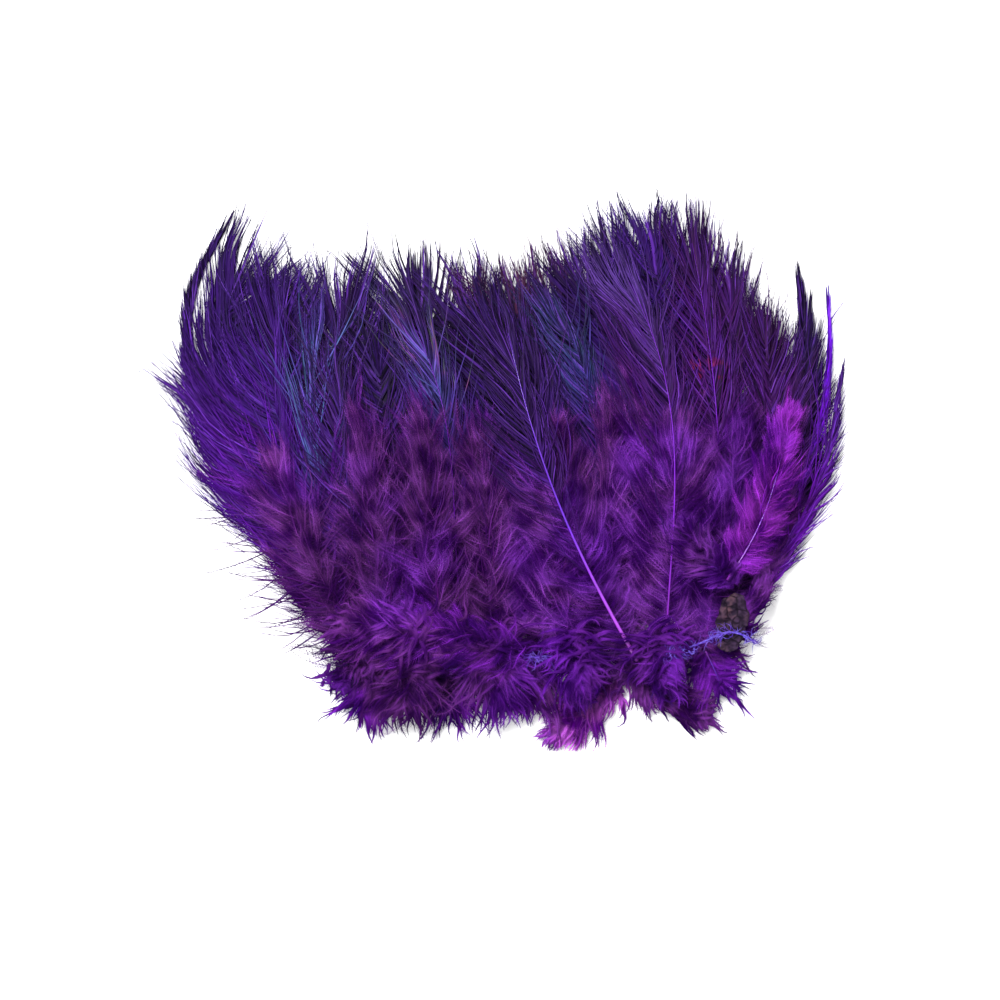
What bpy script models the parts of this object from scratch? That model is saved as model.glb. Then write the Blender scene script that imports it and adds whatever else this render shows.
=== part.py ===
"""A sewn bundle of dyed ring-necked pheasant rump hackle, lying flat.

Every feather is one closed solid: a thin blade with a thicker middle where
the quill runs, and a fringe cut into locks.  The feathers lie on each other
in courses, and each course follows the same gentle mound, so no two touch.
Lengths in the tables are millimetres, as measured over the bundle from above,
and the mesh is made in metres with +Z up.
"""
import math

import bmesh
import bpy
from mathutils import Vector

MM = 0.001

# The mound that all the courses follow, in millimetres
MOUND_EDGE = 11.0
MOUND_RISE = 9.0
MOUND_MIDDLE = (2.0, -6.0)
MOUND_REACH = (98.0, 80.0)
DROOP_FROM = -42.0
DROOP_OVER = 28.0
DROOP_DEPTH = 6.0

# A blade fills this share of its course, and the rest is air
BLADE_SHARE = 0.45
MIDDLE_OF_VANE_SHARE = 0.6

# How a feather's quill and barbs run
HANDLE_SHARE = 0.38
CALAMUS_HALF_WIDTH = 0.9
BARE_QUILL_SHARE = 0.06
FIRST_BARB_SHARE = 0.09
BARB_CURL = 0.6
NOTCH_DEPTH = 4.0
NOTCH_SHARE = 0.3
TIP_VALLEY = 0.72
CROWD_TO_TIP = 0.85

# The middle of the bundle in the table's own millimetres
BUNDLE_CENTRE = (2.4, -1.6)

COLLECTION = "ring_necked_pheasant_rump_hackle"

# Barb length along the feather as a share of the longest, and barb angle in degrees
FORMS = {
    "hackle": {"stations": 12, "length": ((0.0, 0.5), (0.25, 0.9), (0.5, 1.0), (0.8, 0.85), (1.0, 0.5)),
               "angle": ((0.0, 62.0), (0.4, 52.0), (0.8, 36.0), (1.0, 22.0))},
    "swept": {"stations": 12, "length": ((0.0, 0.2), (0.3, 0.4), (0.6, 1.0), (0.85, 0.8), (1.0, 0.45)),
              "angle": ((0.0, 40.0), (0.4, 48.0), (0.8, 36.0), (1.0, 22.0))},
    "sickle": {"stations": 11, "length": ((0.0, 0.7), (0.35, 1.0), (0.8, 0.7), (1.0, 0.4)),
               "angle": ((0.0, 50.0), (0.5, 35.0), (1.0, 12.0))},
    "plume": {"stations": 10, "length": ((0.0, 0.7), (0.3, 0.95), (0.6, 1.0), (1.0, 0.6)),
              "angle": ((0.0, 78.0), (0.5, 60.0), (1.0, 26.0))},
    "tuft": {"stations": 7, "length": ((0.0, 0.7), (0.5, 1.0), (1.0, 0.7)),
             "angle": ((0.0, 66.0), (0.6, 48.0), (1.0, 28.0))},
}

# Dyes: linear colour and roughness
DYES = {
    "ink": ((0.030, 0.012, 0.060), 0.50),
    "blue": ((0.070, 0.025, 0.240), 0.42),
    "pale_blue": ((0.090, 0.110, 0.330), 0.42),
    "violet": ((0.120, 0.015, 0.340), 0.42),
    "bright": ((0.220, 0.020, 0.560), 0.45),
    "iridescent": ((0.110, 0.120, 0.330), 0.35),
    "teal": ((0.050, 0.090, 0.170), 0.38),
    "dusk": ((0.060, 0.022, 0.140), 0.50),
    "brown": ((0.090, 0.035, 0.080), 0.55),
    "plum": ((0.080, 0.018, 0.120), 0.55),
    "grape": ((0.110, 0.022, 0.190), 0.75),
    "magenta": ((0.270, 0.020, 0.460), 0.70),
    "mauve": ((0.260, 0.080, 0.330), 0.80),
}

# Feathers from the lowest to the highest: name, root, tip, lean at the root and at
# the tip in degrees clockwise from +Y, barbs on the left and right, form, dye, course
FEATHERS = (
    ("left_dark_sickle", (-31, -53), (-67, 60), -36, 36, 5, 4, "sickle", "ink", 0),
    ("left_back_feather", (-29, -54), (-63, 50), -36, 26, 15, 14, "swept", "violet", 0),
    ("left_fringe_feather", (-26, -54), (-50, 46), -28, 14, 18, 18, "hackle", "blue", 0),
    ("left_crossing_feather", (-18, -53), (-37, 42), -26, 8, 18, 18, "hackle", "dusk", 0),
    ("spike_feather", (-11, -53), (-22, 48), -20, -22, 17, 17, "hackle", "dusk", 0),
    ("middle_fringe_feather", (-3, -51), (-8, 44), -14, -24, 18, 18, "hackle", "dusk", 0),
    ("brown_fringe_feather", (4, -50), (3, 44), -12, -28, 18, 18, "hackle", "brown", 0),
    ("brown_tip_feather", (12, -49), (13, 46), -10, -26, 18, 18, "hackle", "brown", 0),
    ("beside_tall_feather", (19, -49), (22, 50), -8, -20, 18, 18, "hackle", "dusk", 0),
    ("tall_left_feather", (27, -48), (30, 57), -4, -16, 18, 18, "hackle", "blue", 0),
    ("tall_middle_feather", (34, -48), (39, 60), 0, -14, 18, 18, "hackle", "violet", 0),
    ("tall_right_feather", (41, -48), (49, 60), 6, -12, 18, 18, "hackle", "plum", 0),
    ("right_fringe_feather", (47, -48), (59, 47), 12, -10, 18, 18, "hackle", "plum", 0),
    ("right_shoulder_feather", (52, -46), (68, 35), 18, -10, 16, 16, "hackle", "plum", 0),
    ("right_back_feather", (56, -44), (75, 22), 24, -4, 15, 12, "hackle", "plum", 0),
    ("right_dark_sickle", (58, -42), (77, 47), 26, -10, 4, 4, "sickle", "ink", 0),
    ("right_violet_sickle", (61, -40), (84, 44), 26, -6, 5, 5, "sickle", "bright", 0),
    ("right_edge_feather", (62, -39), (86, 15), 32, 6, 7, 6, "sickle", "magenta", 0),

    ("left_wisp_feather", (-31, -52), (-74, 18), -34, -44, 20, 18, "swept", "bright", 4),
    ("left_low_feather", (-31, -53), (-62, -4), -36, -30, 14, 15, "swept", "grape", 4),
    ("left_wide_feather", (-28, -54), (-53, 44), -32, 8, 30, 14, "swept", "violet", 5),
    ("left_pale_feather", (-25, -54), (-43, 34), -22, 14, 11, 11, "hackle", "pale_blue", 5),
    ("left_middle_feather", (-21, -54), (-38, 24), -24, 0, 15, 15, "hackle", "dusk", 5),
    ("dark_gap_feather", (-14, -53), (-29, 32), -22, -6, 15, 15, "hackle", "ink", 5),
    ("iridescent_feather", (-5, -51), (-20, 36), -14, -28, 19, 12, "hackle", "iridescent", 6),
    ("dark_middle_feather", (6, -50), (-2, 39), -16, -24, 17, 17, "hackle", "ink", 5),
    ("teal_feather", (28, -48), (15, 40), -4, -34, 18, 12, "hackle", "teal", 6),
    ("dusky_middle_feather", (16, -49), (8, 32), -10, -20, 16, 16, "hackle", "dusk", 5),
    ("right_middle_feather", (31, -48), (28, 42), -2, -20, 18, 17, "hackle", "blue", 5),
    ("plum_shoulder_feather", (57, -44), (66, 40), 20, -16, 16, 16, "hackle", "plum", 5),
    ("plum_quill_feather", (53, -46), (50, 56), 9, -11, 16, 16, "hackle", "plum", 6),

    ("left_down_feather", (-28, -54), (-51, -6), -34, -18, 14, 15, "plume", "grape", 8),
    ("second_down_feather", (-21, -54), (-31, 4), -22, -10, 16, 16, "plume", "grape", 8),
    ("third_down_feather", (-10, -52), (-17, 6), -18, -10, 16, 16, "plume", "grape", 9),
    ("middle_down_feather", (2, -50), (-3, 4), -14, -10, 16, 16, "plume", "grape", 8),
    ("fifth_down_feather", (15, -49), (17, 2), -4, -4, 16, 16, "plume", "grape", 9),
    ("sixth_down_feather", (26, -48), (30, 6), 0, 2, 16, 16, "plume", "grape", 8),
    ("seventh_down_feather", (42, -48), (46, 4), 2, 6, 16, 16, "plume", "grape", 9),
    ("right_down_feather", (52, -46), (61, 4), 14, 8, 15, 15, "plume", "grape", 8),
    ("tall_quill_feather", (43, -48), (34, 46), 2, -28, 24, 15, "hackle", "violet", 11),
    ("front_quill_feather", (36, -48), (4, 33), -30, -12, 16, 15, "hackle", "violet", 12),

    ("left_corner_tuft", (-31, -48), (-37, -52), -120, -130, 7, 7, "tuft", "ink", 15),
    ("left_bottom_tuft", (-28, -50), (-31, -58), -165, -172, 12, 12, "tuft", "bright", 2),
    ("second_bottom_tuft", (-21, -47), (-21, -57), -178, -176, 12, 12, "tuft", "grape", 15),
    ("third_bottom_tuft", (-11, -49), (-11, -58), 178, 178, 12, 12, "tuft", "bright", 2),
    ("fourth_bottom_tuft", (0, -45), (1, -56), 176, 174, 12, 12, "tuft", "magenta", 15),
    ("fifth_bottom_tuft", (10, -48), (10, -56), 180, 180, 12, 12, "tuft", "grape", 2),
    ("sixth_bottom_tuft", (21, -45), (23, -53), 174, 174, 11, 11, "tuft", "violet", 15),
    ("mauve_bottom_feather", (32, -53), (18, -66), -126, -132, 10, 10, "tuft", "mauve", 0),
    ("right_bottom_feather", (35, -51), (51, -61), 130, 112, 9, 9, "tuft", "grape", 0),
    ("seventh_bottom_tuft", (41, -44), (42, -53), 174, 172, 11, 11, "tuft", "violet", 15),
    ("frayed_right_tuft", (53, -45), (57, -54), 158, 160, 10, 10, "tuft", "bright", 2),
    ("right_side_tuft", (61, -40), (67, -30), 30, 14, 6, 6, "tuft", "ink", 13),
    ("lower_plume", (5, -45), (-20, -42), -84, -100, 15, 10, "plume", "grape", 16),
    ("side_plume", (-18, -40), (-35, -41), -86, -96, 10, 8, "tuft", "bright", 16),
    ("scrap_fan_feather", (60, -29), (50, -18), -48, -34, 8, 8, "tuft", "grape", 16),
    ("magenta_plume", (58, -28), (73, 10), 36, 10, 10, 10, "plume", "magenta", 15),
)

# The sewing thread along the row of quills: x, y, and how far it has climbed onto the scrap
THREAD_RADIUS = 0.22
THREAD_COURSE = 14
THREAD_ROUTE = (
    (-36, -53.6, 0), (-32, -53, 0), (-27, -52.4, 0), (-22, -52, 0), (-17, -51.4, 0),
    (-12, -50.8, 0), (-7, -49.8, 0), (-2, -48.8, 0), (3, -48, 0), (8, -47.4, 0), (13, -47, 0),
    (18, -46.8, 0), (23, -46.4, 0), (28, -46.2, 0), (33, -46, 0), (38, -46, 0), (43, -45.8, 0),
    (48, -45.2, 0), (51, -44.2, 0), (53, -43.2, 0.5), (55, -42, 1), (57, -41.2, 1), (59, -40.9, 1),
    (61, -41.2, 1), (63, -42, 1), (64.5, -43, 0.5), (65.5, -44.2, 0),
)

# The scrap of dried skin at the right end of the row
SCRAP_MIDDLE = (59.0, -38.5)
SCRAP_HALF = (4.2, 8.3)
SCRAP_THICK = 1.7
SCRAP_TURN = -12.0
SCRAP_COURSE = 15
SCRAP_WRINKLE = 0.35
SCRAP_RAGGED = ((0.12, 3.0, 0.6), (0.07, 5.0, 0.0))
SCRAP_FOLDS = (1.7, 0.8, 0.9)
SCRAP_SIDES = 14
SCRAP_RINGS = 7
SCRAP_DYE = ((0.020, 0.010, 0.026), 0.85)
THREAD_DYE = ((0.130, 0.070, 0.560), 0.60)

# Metres within which a vertex counts as lying on the scrap's flat underside
FLAT = 0.000001

# Plan cells that decide which feathers lie over each other
CELL = 2.0
PLAN_STEPS = 44
PLAN_ACROSS = 10


def mound(x, y):
    """Height of the whole pile over a point of the table, in millimetres."""
    across = min(1.0, abs(x - MOUND_MIDDLE[0]) / MOUND_REACH[0])
    along = min(1.0, abs(y - MOUND_MIDDLE[1]) / MOUND_REACH[1])
    bump = math.cos(0.5 * math.pi * across) ** 2 * math.cos(0.5 * math.pi * along) ** 2
    below = min(1.0, max(0.0, (DROOP_FROM - y) / DROOP_OVER))
    droop = math.sin(0.5 * math.pi * below) ** 2
    return MOUND_EDGE + MOUND_RISE * bump - DROOP_DEPTH * droop


def between(stops, place):
    """Read a value off a short list of (place, value) stops."""
    for (low, first), (high, second) in zip(stops, stops[1:]):
        if place <= high:
            share = (place - low) / (high - low)
            return first + (second - first) * share
    return stops[-1][1]


def heading(lean):
    """Unit vector for a lean in degrees clockwise from +Y."""
    angle = math.radians(lean)
    return Vector((math.sin(angle), math.cos(angle)))


def quill(feather, place):
    """Point of the quill and its direction, for place 0 at the root and 1 at the tip."""
    root, tip = Vector(feather["root"]), Vector(feather["tip"])
    reach = HANDLE_SHARE * (tip - root).length
    out = root + heading(feather["lean_root"]) * reach
    back = tip - heading(feather["lean_tip"]) * reach
    rest = 1.0 - place
    point = (root * rest ** 3 + out * (3 * rest * rest * place)
             + back * (3 * rest * place * place) + tip * place ** 3)
    slope = ((out - root) * rest * rest + (back - out) * (2 * rest * place)
             + (tip - back) * place * place)
    return point, slope.normalized()


def barb(feather, place, side, share):
    """Plan point at a share of the barb's length; the barb curls towards the tip."""
    point, ahead = quill(feather, place)
    across = Vector((ahead.y, -ahead.x)) * side
    if place <= BARE_QUILL_SHARE:
        return point + across * (CALAMUS_HALF_WIDTH * share)
    form = FORMS[feather["form"]]
    vane = (place - BARE_QUILL_SHARE) / (1.0 - BARE_QUILL_SHARE)
    start = math.radians(between(form["angle"], vane))
    length = between(form["length"], vane) * feather["right" if side > 0 else "left"]
    bend = start * BARB_CURL
    now = start - bend * share
    forward = (math.sin(start) - math.sin(now)) / bend
    outward = (math.cos(now) - math.cos(start)) / bend
    return point + (ahead * forward + across * outward) * length


def tip_length(feather):
    """Length of the last barbs, beyond the end of the quill."""
    return between(FORMS[feather["form"]]["length"], 1.0) * max(feather["left"], feather["right"])


def station_places(feather):
    """Places of the cross rows along a feather: two on the bare quill, the rest on the vane."""
    count = FORMS[feather["form"]]["stations"]
    rest = 1.0 - FIRST_BARB_SHARE
    vane = [FIRST_BARB_SHARE + rest * (row / (count - 3)) ** CROWD_TO_TIP for row in range(count - 2)]
    return [0.0, BARE_QUILL_SHARE] + vane


def blade_point(feather, places, row, column, top):
    """Table position of one vertex; column runs from -2 at the left fringe to 2 at the right."""
    place = places[row]
    side = 1.0 if column > 0 else -1.0
    share = abs(column) / 2.0
    last = row == len(places) - 1
    if abs(column) == 2 and row % 2 == 0 and 1 < row and not last:
        longest = feather["right" if side > 0 else "left"]
        share = 1.0 - min(NOTCH_SHARE, NOTCH_DEPTH / longest)
    if last and abs(column) == 1:
        share = TIP_VALLEY
    if last and column == 0:
        spot, ahead = quill(feather, place)
        spot = spot + ahead * tip_length(feather)
    else:
        spot = barb(feather, place, side, share)
    thick = BLADE_SHARE
    if abs(column) == 1 and row > 1:
        thick = BLADE_SHARE * MIDDLE_OF_VANE_SHARE
    if (last and column == 0) or (abs(column) == 2 and row > 1):
        thick = 0.0
    level = feather["course"] + (thick if top else 0.0)
    return Vector((spot.x, spot.y, mound(spot.x, spot.y) * level / feather["courses"]))


def cell_of(x, y):
    """The table cell that holds a point."""
    return math.floor(x / CELL), math.floor(y / CELL)


def with_room(cells):
    """The cells and their neighbours all round."""
    return {(i + di, j + dj) for i, j in cells for di in (-1, 0, 1) for dj in (-1, 0, 1)}


def plan_cells(feather):
    """Cells of the table that a feather covers, with one cell of room all round."""
    cells = set()
    for step in range(PLAN_STEPS + 1):
        for side in (-1.0, 1.0):
            for out in range(PLAN_ACROSS + 1):
                cells.add(cell_of(*barb(feather, step / PLAN_STEPS, side, out / PLAN_ACROSS)))
    tip, ahead = quill(feather, 1.0)
    for out in range(PLAN_ACROSS + 1):
        cells.add(cell_of(*(tip + ahead * (tip_length(feather) * out / PLAN_ACROSS))))
    return with_room(cells)


def thread_cells():
    """Cells that the sewing thread crosses."""
    cells = set()
    for (x0, y0, _), (x1, y1, _) in zip(THREAD_ROUTE, THREAD_ROUTE[1:]):
        for step in range(PLAN_ACROSS + 1):
            share = step / PLAN_ACROSS
            cells.add(cell_of(x0 + (x1 - x0) * share, y0 + (y1 - y0) * share))
    return with_room(cells)


def scrap_cells():
    """Cells under the skin scrap."""
    cells = set()
    for ring in range(PLAN_ACROSS + 1):
        for step in range(PLAN_STEPS):
            angle = 2.0 * math.pi * step / PLAN_STEPS
            share = ring / PLAN_ACROSS
            cells.add(cell_of(SCRAP_MIDDLE[0] + SCRAP_HALF[0] * share * math.cos(angle),
                              SCRAP_MIDDLE[1] + SCRAP_HALF[1] * share * math.sin(angle)))
    return with_room(cells)


def stack():
    """Give every feather the lowest free course from its own course up."""
    keys = ("name", "root", "tip", "lean_root", "lean_tip", "left", "right", "form", "dye", "course")
    thread, scrap = thread_cells(), scrap_cells()
    placed = []
    for row in FEATHERS:
        feather = dict(zip(keys, row))
        feather["cells"] = plan_cells(feather)
        taken = {other["course"] for other in placed if not feather["cells"].isdisjoint(other["cells"])}
        if not feather["cells"].isdisjoint(thread):
            taken.add(THREAD_COURSE)
        if not feather["cells"].isdisjoint(scrap):
            taken.update((SCRAP_COURSE, SCRAP_COURSE + 1))
        while feather["course"] in taken:
            feather["course"] += 1
        placed.append(feather)
    courses = max(feather["course"] for feather in placed) + 1
    for feather in placed:
        feather["courses"] = courses
    return placed, courses


def to_metres(spot):
    """Table millimetres to metres about the middle of the bundle."""
    return Vector(((spot[0] - BUNDLE_CENTRE[0]) * MM, (spot[1] - BUNDLE_CENTRE[1]) * MM, spot[2] * MM))


def plain_material(name, dye):
    """A Principled material with one dyed colour."""
    colour, roughness = dye
    material = bpy.data.materials.new(name)
    material.use_nodes = True
    shader = material.node_tree.nodes["Principled BSDF"]
    shader.inputs["Base Color"].default_value = (*colour, 1.0)
    shader.inputs["Roughness"].default_value = roughness
    shader.inputs["Metallic"].default_value = 0.0
    material.diffuse_color = (*colour, 1.0)
    return material


def keep(name, mesh, dye, home):
    """Put a finished mesh in the bundle's collection with its own material."""
    body = bpy.data.objects.new(name, mesh)
    mesh.materials.append(plain_material(name + "_dye", dye))
    home.objects.link(body)
    return body


def make_feather(feather, home):
    """A flat grid, extruded to a slab and laid along the quill and barbs."""
    places = station_places(feather)
    rows = len(places) - 1
    bm = bmesh.new()
    bmesh.ops.create_grid(bm, x_segments=4, y_segments=rows, size=1.0)
    made = bmesh.ops.extrude_face_region(bm, geom=bm.faces[:])
    top = {item for item in made["geom"] if isinstance(item, bmesh.types.BMVert)}
    for vert in bm.verts:
        row = round((vert.co.y + 1.0) * 0.5 * rows)
        column = round(vert.co.x * 2.0)
        vert.co = to_metres(blade_point(feather, places, row, column, vert in top))
    bmesh.ops.remove_doubles(bm, verts=bm.verts[:], dist=0.00001)
    bmesh.ops.triangulate(bm, faces=bm.faces[:], quad_method="SHORT_EDGE")
    bmesh.ops.recalc_face_normals(bm, faces=bm.faces[:])
    mesh = bpy.data.meshes.new(feather["name"])
    bm.to_mesh(mesh)
    bm.free()
    return keep(feather["name"], mesh, DYES[feather["dye"]], home)


def scrap_floor(courses):
    """Height of the scrap's underside."""
    return mound(*SCRAP_MIDDLE) * SCRAP_COURSE / courses


def make_scrap(courses, home):
    """A squashed ball with a flat underside, wrinkled across its top."""
    bm = bmesh.new()
    bmesh.ops.create_uvsphere(bm, u_segments=SCRAP_SIDES, v_segments=SCRAP_RINGS, radius=1.0)
    turn = math.radians(SCRAP_TURN)
    base = scrap_floor(courses)
    for vert in bm.verts:
        around = math.atan2(vert.co.y, vert.co.x)
        ragged = 1.0 + sum(size * math.sin(turns * around + start) for size, turns, start in SCRAP_RAGGED)
        x = vert.co.x * SCRAP_HALF[0] * ragged
        y = vert.co.y * SCRAP_HALF[1] * ragged
        along, slant, across = SCRAP_FOLDS
        wrinkle = SCRAP_WRINKLE * math.sin(along * y + slant * x) * math.cos(across * x)
        z = base + max(0.0, vert.co.z) * (SCRAP_THICK + wrinkle)
        spot = (SCRAP_MIDDLE[0] + x * math.cos(turn) - y * math.sin(turn),
                SCRAP_MIDDLE[1] + x * math.sin(turn) + y * math.cos(turn), z)
        vert.co = to_metres(spot)
    bm.normal_update()
    flat = [face for face in bm.faces if all(abs(vert.co.z - base * MM) < FLAT for vert in face.verts)]
    bmesh.ops.dissolve_faces(bm, faces=flat)
    bmesh.ops.triangulate(bm, faces=bm.faces[:])
    bmesh.ops.recalc_face_normals(bm, faces=bm.faces[:])
    mesh = bpy.data.meshes.new("dried_skin_scrap")
    bm.to_mesh(mesh)
    bm.free()
    return keep("dried_skin_scrap", mesh, SCRAP_DYE, home)


def make_thread(courses, home):
    """The thread as a bevelled curve, made a mesh so that its caps are welded."""
    curve = bpy.data.curves.new("sewing_thread_route", "CURVE")
    curve.dimensions = "3D"
    curve.bevel_depth = THREAD_RADIUS * MM
    curve.bevel_resolution = 1
    curve.use_fill_caps = True
    spline = curve.splines.new("POLY")
    spline.points.add(len(THREAD_ROUTE) - 1)
    over = scrap_floor(courses) + SCRAP_THICK + SCRAP_WRINKLE + 3.0 * THREAD_RADIUS
    for point, (x, y, climb) in zip(spline.points, THREAD_ROUTE):
        z = mound(x, y) * (THREAD_COURSE + 0.5 * BLADE_SHARE) / courses
        z += (over - z) * climb
        point.co = (*to_metres((x, y, z)), 1.0)
    guide = bpy.data.objects.new("sewing_thread_guide", curve)
    home.objects.link(guide)
    bpy.context.view_layer.update()
    shown = guide.evaluated_get(bpy.context.evaluated_depsgraph_get())
    mesh = bpy.data.meshes.new_from_object(shown)
    mesh.name = "sewing_thread"
    bpy.data.objects.remove(guide)
    bm = bmesh.new()
    bm.from_mesh(mesh)
    bmesh.ops.remove_doubles(bm, verts=bm.verts[:], dist=0.000001)
    bmesh.ops.triangulate(bm, faces=bm.faces[:])
    bmesh.ops.recalc_face_normals(bm, faces=bm.faces[:])
    bm.to_mesh(mesh)
    bm.free()
    return keep("sewing_thread", mesh, THREAD_DYE, home)


def main():
    for old in list(bpy.data.objects):
        bpy.data.objects.remove(old)
    home = bpy.data.collections.new(COLLECTION)
    bpy.context.scene.collection.children.link(home)
    feathers, courses = stack()
    for feather in feathers:
        make_feather(feather, home)
    make_scrap(courses, home)
    make_thread(courses, home)


main()
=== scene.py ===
# %% [markdown]
# # A sewn bundle of dyed pheasant rump hackle
#
# This lesson dresses a bundle of feathers that lies flat on a table. The packed
# model holds one thin solid for each feather, for the thread and for the scrap
# of skin. Here each solid is replaced by the real thing: a quill, its barbs and
# their down. First the frame is loaded.

# %% Load the frame
import math

import bpy
import numpy as np
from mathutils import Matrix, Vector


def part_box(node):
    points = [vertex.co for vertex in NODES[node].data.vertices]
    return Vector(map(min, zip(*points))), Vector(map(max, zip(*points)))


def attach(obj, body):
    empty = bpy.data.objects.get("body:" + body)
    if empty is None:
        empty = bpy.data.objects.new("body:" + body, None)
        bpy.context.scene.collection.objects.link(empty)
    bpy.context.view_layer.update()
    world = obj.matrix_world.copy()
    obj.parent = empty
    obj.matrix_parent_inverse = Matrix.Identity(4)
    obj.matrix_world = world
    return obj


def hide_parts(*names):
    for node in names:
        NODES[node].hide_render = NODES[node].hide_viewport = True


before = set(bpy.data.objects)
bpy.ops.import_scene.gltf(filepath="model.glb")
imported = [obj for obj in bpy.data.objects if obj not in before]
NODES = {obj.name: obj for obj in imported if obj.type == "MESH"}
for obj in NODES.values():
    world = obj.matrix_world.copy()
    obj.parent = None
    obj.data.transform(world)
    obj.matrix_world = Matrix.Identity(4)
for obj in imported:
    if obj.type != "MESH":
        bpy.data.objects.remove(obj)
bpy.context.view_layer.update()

print("solids to dress:", len(NODES))

# %% [markdown]
# ## The view
#
# The bundle was seen from straight above on a bare white table, with light from
# all round and hardly a shadow. A long lens keeps the plan true. The world gives
# the even light, and one wide lamp over the table adds the soft direction that
# makes the barbs shine.

# %% Camera, table and light
CAMERA_SPOT = (-0.0004, -0.00665, 0.7004)
LENS_MM = 100.0
SENSOR_MM = 36.0
TABLE_SIZE = 3.0
TABLE_WHITE = (0.97, 0.97, 0.97, 1.0)
LAMP_SPOT = (-0.35, 0.45, 1.1)
LAMP_TILT = (-20.0, -16.0, 0.0)
LAMP_SIZE = 0.55
LAMP_WATTS = 34.0
SKY_STRENGTH = 1.1


def deselect():
    """Nothing is left selected, so the next operator acts on its own object alone."""
    bpy.ops.object.select_all(action="DESELECT")


def linked(name, data):
    """A new object for some data, put in the scene."""
    thing = bpy.data.objects.new(name, data)
    bpy.context.scene.collection.objects.link(thing)
    return thing


def set_values(node, **values):
    """Sets a node's input values by name."""
    for name, value in values.items():
        node.inputs[name.replace("_", " ")].default_value = value


camera_data = bpy.data.cameras.new("camera")
camera_data.lens = LENS_MM
camera_data.sensor_width = SENSOR_MM
camera = linked("camera", camera_data)
camera.location = CAMERA_SPOT
bpy.context.scene.camera = camera

deselect()
bpy.ops.mesh.primitive_plane_add(size=TABLE_SIZE)
table_top = bpy.context.object
table_top.name = "table_top"
paint = bpy.data.materials.new("white_table")
paint.use_nodes = True
set_values(paint.node_tree.nodes["Principled BSDF"], Base_Color=TABLE_WHITE, Roughness=0.8)
table_top.data.materials.append(paint)

lamp_data = bpy.data.lights.new("wide_lamp", "AREA")
lamp_data.size = LAMP_SIZE
lamp_data.energy = LAMP_WATTS
lamp = linked("wide_lamp", lamp_data)
lamp.location = LAMP_SPOT
lamp.rotation_euler = tuple(math.radians(turn) for turn in LAMP_TILT)

world = bpy.data.worlds.new("white_room")
world.use_nodes = True
set_values(world.node_tree.nodes["Background"], Color=(1.0, 1.0, 1.0, 1.0), Strength=SKY_STRENGTH)
bpy.context.scene.world = world
bpy.context.scene.view_settings.view_transform = "Standard"
print("camera height over the table, m:", CAMERA_SPOT[2])

# %% [markdown]
# ## The feathers
#
# Every feather keeps the numbers that its solid was drawn from, in millimetres
# over the table: where its quill starts and ends, how it leans there, how long
# its barbs are on each side, what form it has and what dye it took. A hackle is
# a firm feather with a downy foot, a plume and a tuft are down all the way, and
# a sickle is a narrow edge feather.

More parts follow.
